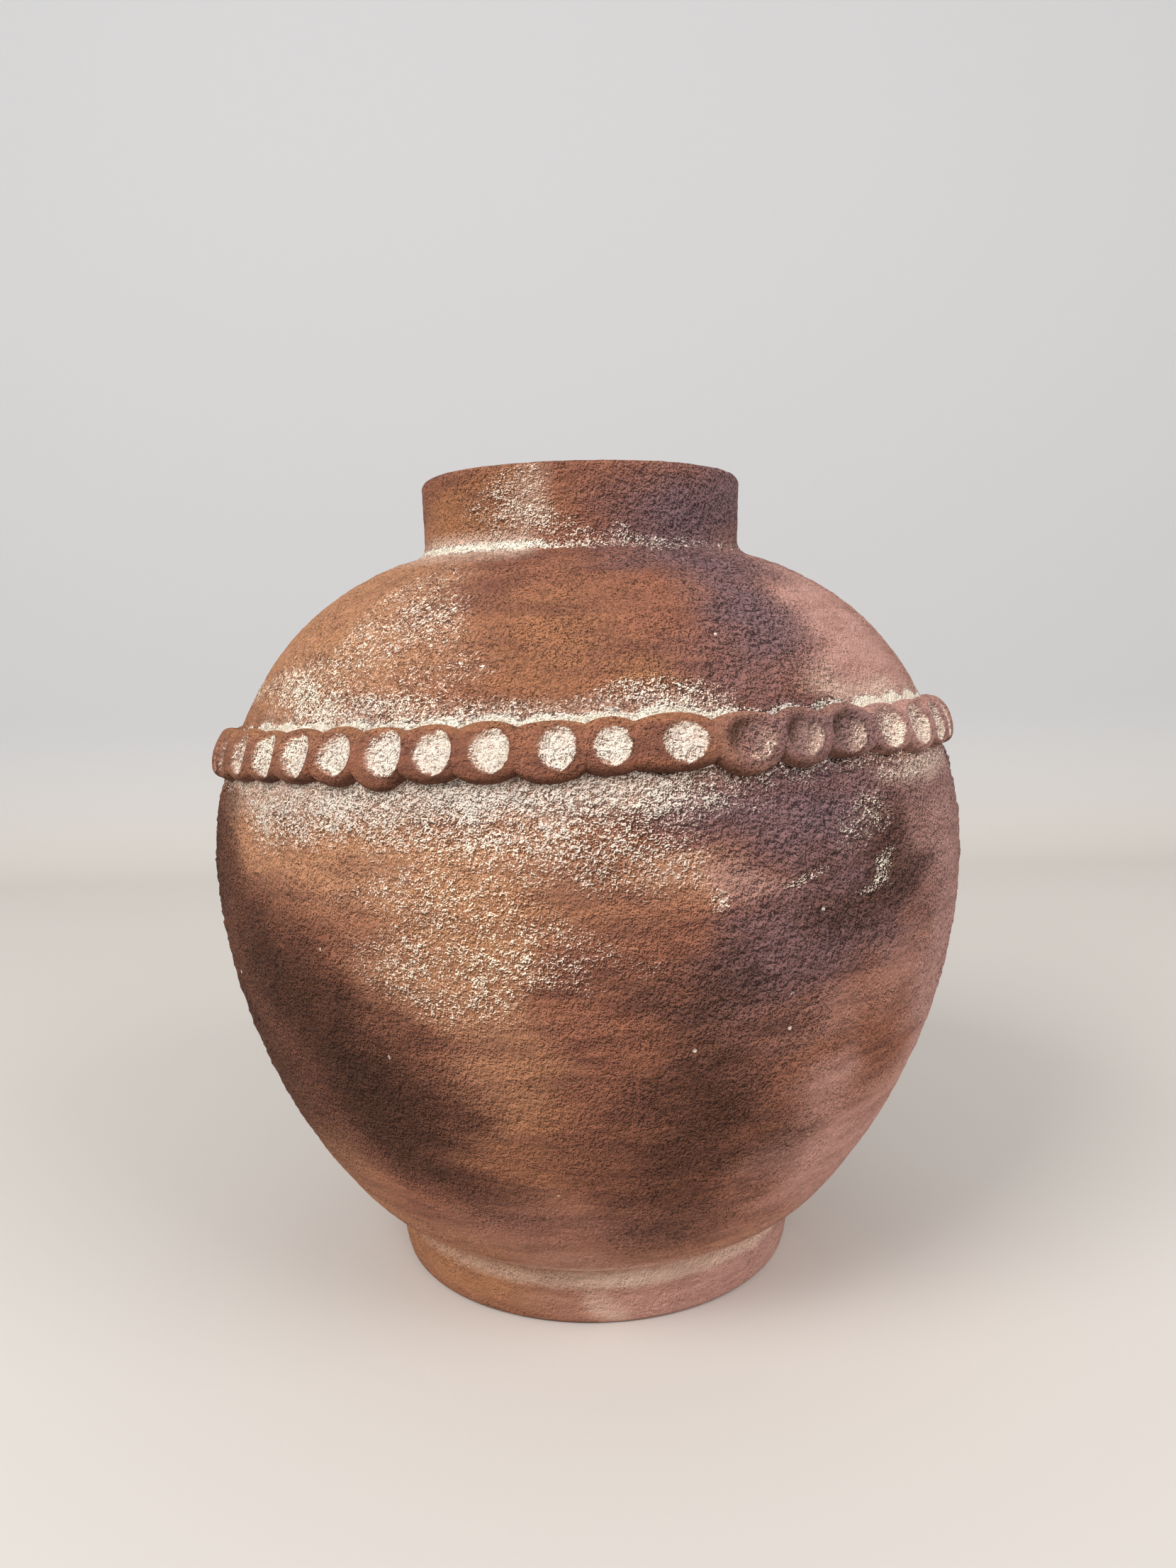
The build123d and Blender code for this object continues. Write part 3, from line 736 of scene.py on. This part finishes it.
class Clay(Nodes):
    """Dry, gritty fired clay: strokes, washes and soot, painted light and shade on its grains and in its pits
    and cracks, with lime caught on the raised grains.
    """

    def __init__(self, tree, look):
        super().__init__(tree)
        self.look = look
        self.where = self.add("ShaderNodeTexCoord").outputs["Object"]
        self.rough = self.value_of("rough")
        self.lime = self.value_of("lime")
        self.cloud = self.noise(self.where, 16, 5, 0.6, 0.3)
        self.stroke = self.noise(self.stretched(self.where, (1, 1, 5)), 30, 6, 0.62, 0.4)
        self.patchy = self.ramp(self.stroke, 0.28, 0.6, 0.6, 1.1)
        self.flat = self.stretched(self.where, (1, 1, 1.1))
        self.grains()
        self.crack = self.cracks()

    def grains(self):
        """Grains and lumps: how high the clay stands, and how much each faces up and to the left."""
        pairs = []
        for scale, detail in ((GRAINS, 2), (GRAINS * 0.4, 3)):
            towards = self.moved(self.flat, (-0.2 / scale, 0, 0.38 / scale))
            pairs.append([self.noise(spot, scale, detail, 0.55, 1.2) for spot in (self.flat, towards)])
        (grain, over), (self.lump, over_lump) = pairs
        self.facing = self.minus(grain, over)
        self.swell = self.minus(self.lump, over_lump)
        self.raised = self.plus(self.times(grain, 0.68), self.times(self.lump, 0.32))
        self.level = self.ramp(self.raised, 0.36, 0.64)

    def cracks(self):
        """Fine cracks here and there."""
        vein = self.noise(self.flat, GRAINS * 0.24, 2, 0.5, 1.2)
        vein = self.ramp(self.math("ABSOLUTE", self.minus(vein, 0.5)), 0.0, 0.022, 1.0, 0.0)
        cracked = self.ramp(self.noise(self.where, GRAINS * 0.07, 2, 0.5), 0.5, 0.62)
        return self.times(self.times(vein, cracked), self.rough)

    def washed(self):
        """Clay in strokes, with its washes."""
        colour = self.mix(self.ramp(self.stroke, 0.36, 0.62), self.look.clay_dark, self.look.clay)
        for kind in ("tan", "ochre", "blush"):
            share = self.times(self.value_of(kind), self.patchy, clamp=True)
            colour = self.mix(share, colour, getattr(self.look, kind))
        return colour

    def sooted_and_shaded(self, colour):
        """Smoke, and soot with the painted shade that shares its colour, over it; these fade out through the
        pits.
        """
        drift = self.ramp(self.cloud, 0.25, 0.62, 0.75, 1.12)
        hollow = self.minus(0.5, self.level)
        for kind in ("smoke", "soot_and_shade"):
            share = self.times(self.value_of(kind), drift, clamp=True)
            fading = self.times(share, self.minus(1.0, share))
            dappled = self.times(self.times(fading, 0.8), hollow)
            share = self.plus(self.times(share, 0.98), dappled, clamp=True)
            colour = self.mix(share, colour, getattr(self.look, kind))
        return colour

    def specks(self):
        """Single dots of lime, far apart."""
        cells = self.add("ShaderNodeTexVoronoi")
        self.feed(cells.inputs["Vector"], self.where)
        cells.inputs["Scale"].default_value = 80
        picked = self.add("ShaderNodeSeparateColor")
        self.feed(picked.inputs[0], cells.outputs["Color"])
        dot = self.ramp(cells.outputs["Distance"], 0.075, 0.05)
        dot = self.times(dot, self.ramp(picked.outputs[0], 0.8, 0.82))
        return self.times(dot, self.rough)

    def limed(self, colour):
        """Lime, as a smooth chalky wash, as flecks on the grains, and solid where it is thickest."""
        lime, look = self.lime, self.look
        colour = self.mix(self.times(self.value_of("chalk_and_highlight"), self.patchy, clamp=True), colour, look.chalk_and_highlight)
        heap = self.plus(self.level, self.times(self.facing, 1.2))
        heap = self.plus(heap, self.times(lime, self.ramp(self.lump, 0.35, 0.65, 0.8, 1.2)))
        caught = self.times(self.ramp(heap, 1.26, 1.35), self.ramp(lime, 0.06, 0.26))
        caught = self.math("MAXIMUM", caught, self.ramp(lime, 0.95, 1.25))
        caught = self.math("MAXIMUM", caught, self.specks(), clamp=True)
        weathered = self.times(self.ramp(self.cloud, 0.36, 0.6, 0.1, 0.85), self.ramp(lime, 1.25, 1.0))
        pale = self.mix(weathered, look.lime, look.lime_grey)
        return self.mix(self.times(caught, self.ramp(lime, 0.1, 0.9, 0.85, 1.0)), colour, pale)

    def shaded_and_streaked(self, colour):
        """Painted light on the side of each grain that faces up and to the left, painted shade on its other
        side and in the pits and cracks, the sand's random tone, and the brush's streaks.
        """
        sand = self.noise(self.where, GRAINS * 2.2, 0)
        streak = self.noise(self.stretched(self.where, (1, 1, 6)), 120, 4, 0.6, 0.3)
        pit = self.math("MINIMUM", self.minus(self.raised, 0.46), 0.0)
        clods = self.plus(self.times(self.value_of("smoke"), 4.0), 2.4)
        # Painted light and shade: each grain and lump is lighter on its side towards the light at the upper
        # left and darker on the other, the lumps more so where smoke lies
        shade_and_streaks = self.plus(self.times(self.facing, 6.4), self.times(self.swell, clods))
        # Painted shade in the pits, stronger where lime lies
        shade_and_streaks = self.plus(shade_and_streaks, self.times(pit, self.ramp(self.lime, 0.15, 0.7, 0.4, 5.5)))
        shade_and_streaks = self.plus(shade_and_streaks, self.times(self.minus(sand, 0.5), 1.5))
        # Painted shade in the cracks
        shade_and_streaks = self.minus(shade_and_streaks, self.times(self.crack, 0.4))
        uneven = self.ramp(self.noise(self.where, GRAINS * 0.06, 3, 0.6), 0.36, 0.64, 0.6, 1.5)
        shade_and_streaks = self.times(self.times(shade_and_streaks, uneven), self.rough)
        shade_and_streaks = self.times(shade_and_streaks, self.ramp(self.lime, 0.95, 1.25, 1.0, 0.3))
        shade_and_streaks = self.plus(shade_and_streaks, self.ramp(streak, 0.3, 0.7, 0.92, 1.1))
        shade_and_streaks = self.math("MINIMUM", self.math("MAXIMUM", shade_and_streaks, 0.3), 1.45)
        return self.mix(1.0, colour, self.grey(shade_and_streaks), "MULTIPLY")

    def bumps(self, strength):
        """The finest relief, of grains, lumps and cracks."""
        node = self.add("ShaderNodeBump")
        node.inputs["Strength"].default_value = strength
        node.inputs["Distance"].default_value = self.look.grit * 2.6
        surface = self.plus(self.raised, self.times(self.lump, 0.5))
        surface = self.minus(surface, self.times(self.crack, 0.25))
        self.feed(node.inputs["Height"], self.times(surface, self.rough))
        return node.outputs[0]


def clay_material(look, name):
    """The clay in one of its finishes, made once and then shared."""
    material = bpy.data.materials.get(name)
    if material:
        return material
    material = bpy.data.materials.new(name)
    material.use_nodes = True
    shader = material.node_tree.nodes["Principled BSDF"]
    clay = Clay(material.node_tree, look)
    clay.feed(shader.inputs["Base Color"], clay.shaded_and_streaked(clay.limed(clay.sooted_and_shaded(clay.washed()))))
    clay.feed(shader.inputs["Roughness"], clay.ramp(clay.level, 0.2, 0.9, 0.97, 0.82))
    clay.feed(shader.inputs["Normal"], clay.bumps(FINISHES[name]))
    shader.inputs["Specular IOR Level"].default_value = 0.15
    return material


def jar_settings(context):
    """The sizes and the colours that the user has set."""
    return context.scene.jar_shape, context.scene.jar_clay


class JAR_OT_stage(bpy.types.Operator):
    """Pale floor, backdrop, soft light and the camera at the photograph's angle"""

    bl_idname = "jar.stage"
    bl_label = "Stage"

    def execute(self, context):
        look = context.scene.jar_stage
        self.sweep(look)
        self.lights(look)
        self.camera()
        context.scene.view_settings.view_transform = "Standard"
        return {"FINISHED"}

    @staticmethod
    def sweep(look):
        """The floor runs back, turns up in a cove and becomes the backdrop."""
        half_width, front, back, bend, top = 3.0, -2.2, 1.1, 0.2, 2.6
        bend_steps = 12
        line = [(front, 0.0), (-0.6, 0.0), (back - bend, 0.0)]
        for step in range(1, bend_steps + 1):
            turn = pi / 2 * step / bend_steps
            line.append((back - bend + bend * sin(turn), bend - bend * cos(turn)))
        line.append((back, top))
        points = [(x, y, z) for y, z in line for x in (-half_width, half_width)]
        faces = [(2 * i, 2 * i + 1, 2 * i + 3, 2 * i + 2) for i in range(len(line) - 1)]
        mesh = bpy.data.meshes.new("stage_sweep")
        mesh.from_pydata(points, [], faces, shade_flat=False)
        material = bpy.data.materials.new("stage_paint")
        material.use_nodes = True
        nodes = Nodes(material.node_tree)
        where = nodes.add("ShaderNodeTexCoord").outputs["Object"]
        split = nodes.add("ShaderNodeSeparateXYZ")
        nodes.feed(split.inputs[0], where)
        up = nodes.ramp(split.outputs["Z"], 0.0, bend)
        shader = material.node_tree.nodes["Principled BSDF"]
        nodes.feed(shader.inputs["Base Color"], nodes.mix(up, look.floor, look.backdrop))
        shader.inputs["Roughness"].default_value = 0.95
        shader.inputs["Specular IOR Level"].default_value = 0.1
        mesh.materials.append(material)
        sheet = bpy.data.objects.new("stage_sweep", mesh)
        bpy.context.scene.collection.objects.link(sheet)
        return sheet

    @staticmethod
    def lights(look):
        target = Vector((0, 0, 0.2))
        for name, spot, size, power in (
            ("key_light", (-1.1, -1.2, 1.6), 1.0, look.key_power),
            ("fill_light", (1.3, -1.1, 1.4), 1.2, look.fill_power),
        ):
            data = bpy.data.lights.new(name, "AREA")
            data.energy = power
            data.size = size
            light = bpy.data.objects.new(name, data)
            light.location = spot
            light.rotation_euler = (target - light.location).to_track_quat("-Z", "Y").to_euler()
            bpy.context.scene.collection.objects.link(light)
        world = bpy.data.worlds.new("studio")
        world.use_nodes = True
        sky = world.node_tree.nodes["Background"]
        sky.inputs["Color"].default_value = (1, 1, 1, 1)
        nodes = Nodes(world.node_tree)
        rays = nodes.add("ShaderNodeLightPath").outputs
        seen = nodes.math("MAXIMUM", rays["Is Glossy Ray"], rays["Is Transmission Ray"])
        seen = nodes.math("MAXIMUM", rays["Is Camera Ray"], seen)
        extra = nodes.times(seen, look.surround - look.sky)
        nodes.feed(sky.inputs["Strength"], nodes.plus(extra, look.sky))
        bpy.context.scene.world = world

    @staticmethod
    def camera():
        """The camera fitted to the photograph: where it stood, how it looked down and how it leaned."""
        stand = (0, -0.5694, 0.2954)
        pitch, roll, yaw = 0.1225, 0.0218, 0.0012
        focal, frame_height = 1646.8, 2212
        data = bpy.data.cameras.new("photo_camera")
        data.sensor_fit = "AUTO"
        data.sensor_width = 36
        data.lens = data.sensor_width * focal / frame_height
        data.clip_start = 0.01
        forward = Vector((sin(yaw) * cos(pitch), cos(yaw) * cos(pitch), -sin(pitch)))
        level = Vector((cos(yaw), -sin(yaw), 0))
        above = level.cross(forward)
        right = cos(roll) * level - sin(roll) * above
        up = sin(roll) * level + cos(roll) * above
        camera = bpy.data.objects.new("photo_camera", data)
        turn = Matrix((right, up, -forward)).transposed().to_4x4()
        camera.matrix_world = Matrix.Translation(stand) @ turn
        bpy.context.scene.collection.objects.link(camera)
        bpy.context.scene.camera = camera


class JAR_OT_foot_ring(bpy.types.Operator):
    """The ring that the jar stands on, wiped smooth, with a ledge inside for the floor"""

    bl_idname = "jar.foot_ring"
    bl_label = "Foot ring"

    def execute(self, context):
        shape, look = jar_settings(context)
        profile = Profile(shape)
        shell = Shell(shape.columns)
        shell.add_skin(*skin(shape, look, profile, 0, profile.crease_row))
        ledge = shape.foot_height - shape.floor_thickness
        floor_radius = shape.waist_radius - shape.floor_rim
        inner, bevel = shape.waist_radius - shape.foot_width, 0.003
        shell.add_rows([(floor_radius, shape.foot_height), (floor_radius, ledge), (inner, ledge)], tan=0.4)
        shell.add_rows([(inner, bevel), (inner + bevel / 3, bevel / 5), (inner + bevel, 0.0)], tan=0.4)
        material = clay_material(look, "wiped_clay")
        place("foot_ring_clay", shell.mesh("foot_ring_clay"), "foot_ring", material, "foot_clay")
        return {"FINISHED"}


class JAR_OT_floor_disc(bpy.types.Operator):
    """The floor, with the potter's rings on its raised middle"""

    bl_idname = "jar.floor_disc"
    bl_label = "Floor disc"

    def execute(self, context):
        shape, look = jar_settings(context)
        columns, ring_count = 240, 40
        azimuths = np.linspace(-pi, pi, columns, endpoint=False)
        rim = shape.waist_radius - shape.floor_rim
        pan = shape.waist_radius - shape.floor_pan_inset
        under = shape.foot_height - shape.floor_thickness
        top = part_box("floor_disc")[1][2]
        rings = np.arange(1, ring_count) / ring_count
        groove, waves = 0.0004, 52
        rows = [(pan * share, under + groove / 2 * sin(40 * share)) for share in rings]
        rows += [(rim, under), (rim, shape.foot_height), (pan, shape.foot_height)]
        rows += [(pan * share, top - groove - groove * sin(waves * share)) for share in rings[::-1]]
        points = turned_points(np.array(rows), azimuths).reshape(-1, 3)
        count = len(rows)
        faces = ring_faces(count, columns, count - 1).tolist()
        bottom, centre = len(points), len(points) + 1
        last = (count - 1) * columns
        for step in range(columns):
            faces.append((bottom, (step + 1) % columns, step))
            faces.append((centre, last + step, last + (step + 1) % columns))
        points = np.concatenate([points, [[0, 0, under], [0, 0, top - groove]]])
        mesh = bpy.data.meshes.new("floor_disc_clay")
        mesh.from_pydata(points.tolist(), [], faces, shade_flat=False)
        mesh.set_sharp_from_angle(angle=radians(50))
        tints = {"tan": 0.3, "soot_and_shade": 0.35, "rough": 0.5}
        for kind in LAYERS:
            give_values(mesh, kind, np.full(len(points), tints.get(kind, 0.0)))
        material = clay_material(look, "wiped_clay")
        place("floor_disc_clay", mesh, "floor_disc", material, "foot_clay")
        return {"FINISHED"}


class JAR_OT_wall(bpy.types.Operator):
    """The courses of the wall, one shell each, whose skins run on from one to the next"""

    bl_idname = "jar.wall"
    bl_label = "Wall courses"

    def execute(self, context):
        shape, look = jar_settings(context)
        profile = Profile(shape)
        if len(profile.seams) != len(COURSES) + 1:
            raise ValueError("The wall's seams and its CAD nodes don't match")
        material = clay_material(look, "gritty_clay")
        normals = profile.normals()
        inner_rows, ripple, ripples = 8, 0.0004, 900
        mouth_edge, pan_gap, slanted = 0.001, 0.002, (-0.6, 0.8)
        pan = shape.waist_radius - shape.floor_pan_inset
        mouth = shape.neck_radius - shape.neck_wall + shape.mouth_clearance
        for number, node in enumerate(COURSES):
            first, last = profile.seams[number : number + 2]
            shell = Shell(shape.columns)
            shell.add_skin(*skin(shape, look, profile, first, last))
            rows = np.unique(np.linspace(first, last, inner_rows).round().astype(int))[::-1]
            inner = profile.points[rows] - shape.wall * normals[rows]
            inner[1:-1] += ripple * np.sin(inner[1:-1, 1:] * ripples) * normals[rows][1:-1]
            facing = -normals[rows]
            if number == len(COURSES) - 1:
                seat = profile.points[last, 1] - shape.rebate_depth
                shell.add_rows([(profile.points[last, 0], seat), (mouth, seat)], **INSIDE)
                shell.add_rows([(mouth, inner[0, 1] + mouth_edge)], **INSIDE)
            if number == 0:
                keep = inner[:, 0] > pan + pan_gap
                inner, facing = inner[keep], facing[keep]
            shell.add_rows(inner, facing, **INSIDE)
            if number == 0:
                floor_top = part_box("floor_disc")[1][2]
                shell.add_rows([(pan, floor_top)], [slanted], **INSIDE)
                shell.add_rows([(pan, shape.foot_height)])
            place(f"{node}_clay", shell.mesh(f"{node}_clay"), node, material, "wall_clay")
        return {"FINISHED"}


class JAR_OT_neck_collar(bpy.types.Operator):
    """The upright neck with its hollow root and rounded lip"""

    bl_idname = "jar.neck_collar"
    bl_label = "Neck collar"

    def execute(self, context):
        shape, look = jar_settings(context)
        profile = Profile(shape)
        last = len(profile.points) - 1
        shell = Shell(shape.columns)
        shell.add_skin(*skin(shape, look, profile, profile.root_row, last))
        root = profile.points[profile.root_row]
        shell.add_rows([(root[0], root[1] - shape.rebate_depth)])
        material = clay_material(look, "gritty_clay")
        place("neck_collar_clay", shell.mesh("neck_collar_clay"), "neck_collar", material, "wall_clay")
        return {"FINISHED"}


class FingerMark:
    """The mark of one fingertip on the belt, and where a pad's points lie in it."""

    def __init__(self, shape, number, azimuth, along):
        edges, number = pad_edges(), number % len(PADS)
        shift, wide, tall, _, deep, self.lime = pad_marks()[number]
        drop, stretch, brink, flattest = 0.0008, 1.12, 1.06, 0.2
        middle = (edges[number] + edges[number + 1]) / 2 + shift
        side = ((azimuth - middle + pi) % (2 * pi) - pi) * belt_radius(shape) / (wide / 2)
        self.side = np.where(side < 0, side / stretch, side)
        self.rise = (along + drop) / (tall / 2)
        self.reach = np.sqrt(self.side**2 + self.rise**2)
        self.rightward = self.side / np.maximum(self.reach, flattest)
        softness = 0.42 + 0.12 * np.clip(-self.rightward, 0, 1) - 0.16 * np.clip(self.rightward, 0, 1)
        self.dish = smooth(self.reach, brink, brink - softness)
        slant = 0.95 + 0.3 * np.clip(0.6 * self.rise - 0.8 * self.side, -1, 1)
        slant = slant - 0.1 * np.clip(self.reach, 0, 1) ** 2
        self.hollow = shape.dimple_depth * deep * self.dish * slant
        self.lip = np.exp(-(((self.reach - 1.2) / 0.16) ** 2))


def over_wall(shape, profile, azimuth, along, height):
    """Points this high over the wall, so far along it from the belt's middle."""
    rows = slice(profile.crease_row, profile.root_row + 1)
    radii, levels = profile.points[rows].T
    out, up = profile.normals()[rows].T
    level = band_height(shape, azimuth)
    lean = np.arctan2(np.interp(level, levels, up), np.interp(level, levels, out))
    level = level + along * np.cos(lean)
    lean = np.arctan2(np.interp(level, levels, up), np.interp(level, levels, out))
    radius = np.interp(level, levels, radii) + height * np.cos(lean)
    level = level + height * np.sin(lean)
    return np.stack([radius * np.sin(azimuth), -radius * np.cos(azimuth), level], -1)


def cushion_mesh(name, front, back):
    """A closed mesh of two sheets of points, joined round their edges."""
    rows, columns = front.shape[:2]
    index = np.arange(rows * columns).reshape(rows, columns)
    corners = [index[:-1, :-1], index[1:, :-1], index[1:, 1:], index[:-1, 1:]]
    faces = np.stack(corners, -1).reshape(-1, 4)
    behind = faces[:, ::-1] + rows * columns
    rim = np.concatenate([index[:, 0], index[-1, 1:], index[-2::-1, -1], index[0, -2:0:-1]])
    rim_on = np.roll(rim, -1)
    band = np.stack([rim, rim + rows * columns, rim_on + rows * columns, rim_on], -1)
    points = np.concatenate([front.reshape(-1, 3), back.reshape(-1, 3)]).tolist()
    mesh = bpy.data.meshes.new(name)
    mesh.from_pydata(points, [], np.concatenate([faces, behind, band]).tolist(), shade_flat=False)
    mesh.set_sharp_from_angle(angle=radians(70))
    return mesh


def pad_paint(shape, mark, points, azimuth, turn):
    """Colours of a pad: the wall's own, with lime and chalk in the finger's mark, painted shade in the mark's
    upper left, round its rim and along the pad's lower edge, and painted highlight on the mark's lit lower
    right.
    """
    masks = paint(shape, points)
    side, rise, lime = mark.side, mark.rise, mark.lime
    bare = 1 - lime
    ragged = mark.reach + 0.05 * lumps(points, 0.0022, 24)
    floor = np.where(side > 0, smooth(ragged, 1.0, 0.92), smooth(ragged, 1.04, 0.66))
    # Painted shadow in the upper left of the finger mark
    shaded = smooth(0.7 * rise - side, -0.1, 1.1) * mark.dish
    # Painted highlight on the lit lower right of the finger mark
    lit_lower_right = smooth(0.8 * side - 0.6 * rise, 0.1, 0.9) * floor
    # Painted shade round the mark's rim
    brink = np.exp(-(((mark.reach - 1.04) / 0.09) ** 2))
    brink = brink * np.clip(0.5 + 0.5 * mark.rightward - 0.3 * rise, 0, 1)
    # The pad's top edge, and its lower edge, where painted shade falls
    top_edge, lower_edge = smooth(turn, 0.3, 1.0), smooth(turn, -0.7, -1.35)
    edge = top_edge + lower_edge
    smoked = line_strength(PAD_SMOKE, np.degrees(azimuth))
    pink = line_strength(PAD_BLUSH, np.degrees(azimuth))
    # Lime in the mark, thinner in its painted shadow; the lit lower right gets painted highlight in lime,
    # chalk, blush and ochre, with less smoke
    masks["lime"] = np.clip(1.1 * floor * lime * (1 - bare * shaded) + 0.3 * bare * lit_lower_right, 0, 1.1)
    chalk_and_highlight = np.clip(0.7 * floor * lime + 0.9 * pink * lit_lower_right, 0, 1)
    masks["chalk_and_highlight"] = chalk_and_highlight * (1 - 0.8 * bare * shaded)
    masks["blush"] = np.clip(pink + 0.4 * smoked * lit_lower_right, 0, 1)
    masks["smoke"] = np.clip(smoked * (1 - 0.5 * lit_lower_right - 0.5 * edge), 0, 1)
    masks["tan"] = 0.5 * masks["tan"] * (1 - smoked) + 0.4 * smoked * edge
    # Ochre along the pad's top edge, and painted highlight on the mark's lit lower right
    top_ochre_and_highlight = 0.45 * top_edge * (1 - smoked) + 0.6 * bare * lit_lower_right * (1 - pink)
    masks["ochre"] = np.clip(0.5 * masks["ochre"] + top_ochre_and_highlight, 0, 1)
    # Painted shade in the mark's upper left, round its rim and along the pad's lower edge; darker floors on
    # smoked pads and a little darkening round the marks
    pad_shade_and_soot = 0.12 * (1 - floor) * (1 - pink) + 0.35 * brink + bare * shaded
    pad_shade_and_soot = pad_shade_and_soot + 0.45 * lower_edge * (1 - 0.8 * smoked) + 0.3 * smoked * floor
    masks["soot_and_shade"] = np.clip(0.3 * masks["soot_and_shade"] + pad_shade_and_soot, 0, 1)
    masks["rough"] = np.clip(0.4 + 0.2 * floor + 0.25 * smoked, 0, 1)
    return masks


class JAR_OT_finger_pads(bpy.types.Operator):
    """The belt of clay pads, each pressed on with a fingertip"""

    bl_idname = "jar.finger_pads"
    bl_label = "Finger pads"

    def execute(self, context):
        shape, look = jar_settings(context)
        profile = Profile(shape)
        material = clay_material(look, "pressed_clay")
        for number, node in enumerate(PADS):
            mesh = self.pad(f"{node}_clay", shape, profile, number)
            place(f"{node}_clay", mesh, node, material, "pad_clay")
        return {"FINISHED"}

    @staticmethod
    def pad(name, shape, profile, number):
        """One pad: a rounded cushion between its edges, dished by the finger, with a back inside the wall."""
        across_count, up_count = 40, 60
        inset, back_depth = 1e-6, 0.0008
        crease_width, crease_middle, crease_ends = 0.0012, 0.0005, 0.0012
        lip_height, grit_height, dent_height = 0.0005, 0.00016, 0.00035
        left, right = pad_edges()[number : number + 2]
        azimuth = np.linspace(left + inset, right - inset, across_count + 1)[:, None]
        turn = np.linspace(-pi / 2, pi / 2, up_count + 1)[None, :]
        above, below, across = belt_outline(shape, azimuth)
        half = np.where(turn > 0, above, below)
        along = half * np.sign(np.sin(turn)) * np.abs(np.sin(turn)) ** 0.82
        swell = np.abs(np.cos(turn))
        to_edge = (1 - np.abs(across)) * (right - left) / 2 * belt_radius(shape)
        crease = crease_middle + crease_ends * np.sin(turn) ** 2
        crease = crease * np.exp(-((to_edge / crease_width) ** 2))
        proud = shape.pad_thickness * swell**0.62 - crease * parted(azimuth) * swell**0.5
        marks = [FingerMark(shape, near, azimuth, along) for near in (number - 1, number + 1, number)]
        for mark in marks:
            proud = proud - mark.hollow
        proud = proud + lip_height * np.maximum.reduce([mark.lip for mark in marks]) * swell
        own_mark = marks[-1]

        plain = over_wall(shape, profile, azimuth, along, proud)
        grit = layered(plain, (1, 0.0040, 21), (0.6, 0.0024, 22))
        dents = lumps(plain, 0.014, 23)
        uneven = grit_height * grit * (0.6 + 0.9 * own_mark.dish) + dent_height * dents
        proud = proud + uneven * swell
        front = over_wall(shape, profile, azimuth, along, proud)
        back = over_wall(shape, profile, azimuth, along, np.minimum(proud, -back_depth))
        mesh = cushion_mesh(name, front, back)
        for kind, values in pad_paint(shape, own_mark, front, azimuth, turn).items():
            give_values(mesh, kind, np.concatenate([values.ravel(), values.ravel()]))
        return mesh


class JAR_PT_panel(bpy.types.Panel):
    """Lists the jar's pieces in the sidebar"""

    bl_idname = "JAR_PT_panel"
    bl_label = "Storage jar"
    bl_space_type = "VIEW_3D"
    bl_region_type = "UI"
    bl_category = "Jar"

    def draw(self, context):
        for operator in OPERATORS:
            self.layout.operator(operator.bl_idname)
        for group in (context.scene.jar_shape, context.scene.jar_clay, context.scene.jar_stage):
            box = self.layout.box()
            for name in group.__annotations__:
                box.prop(group, name)


OPERATORS = (
    JAR_OT_stage,
    JAR_OT_foot_ring,
    JAR_OT_floor_disc,
    JAR_OT_wall,
    JAR_OT_neck_collar,
    JAR_OT_finger_pads,
)
GROUPS = {"jar_shape": JarShape, "jar_clay": ClayLook, "jar_stage": StageLook}


def register():
    for group in GROUPS.values():
        bpy.utils.register_class(group)
    for operator in OPERATORS:
        bpy.utils.register_class(operator)
    bpy.utils.register_class(JAR_PT_panel)
    for name, group in GROUPS.items():
        setattr(bpy.types.Scene, name, PointerProperty(type=group))


def unregister():
    for name in GROUPS:
        delattr(bpy.types.Scene, name)
    bpy.utils.unregister_class(JAR_PT_panel)
    for operator in reversed(OPERATORS):
        bpy.utils.unregister_class(operator)
    for group in GROUPS.values():
        bpy.utils.unregister_class(group)


def main():
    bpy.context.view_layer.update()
    register()
    bpy.ops.jar.stage()
    bpy.ops.jar.foot_ring()
    bpy.ops.jar.floor_disc()
    bpy.ops.jar.wall()
    bpy.ops.jar.neck_collar()
    bpy.ops.jar.finger_pads()


if __name__ == "__main__":
    main()
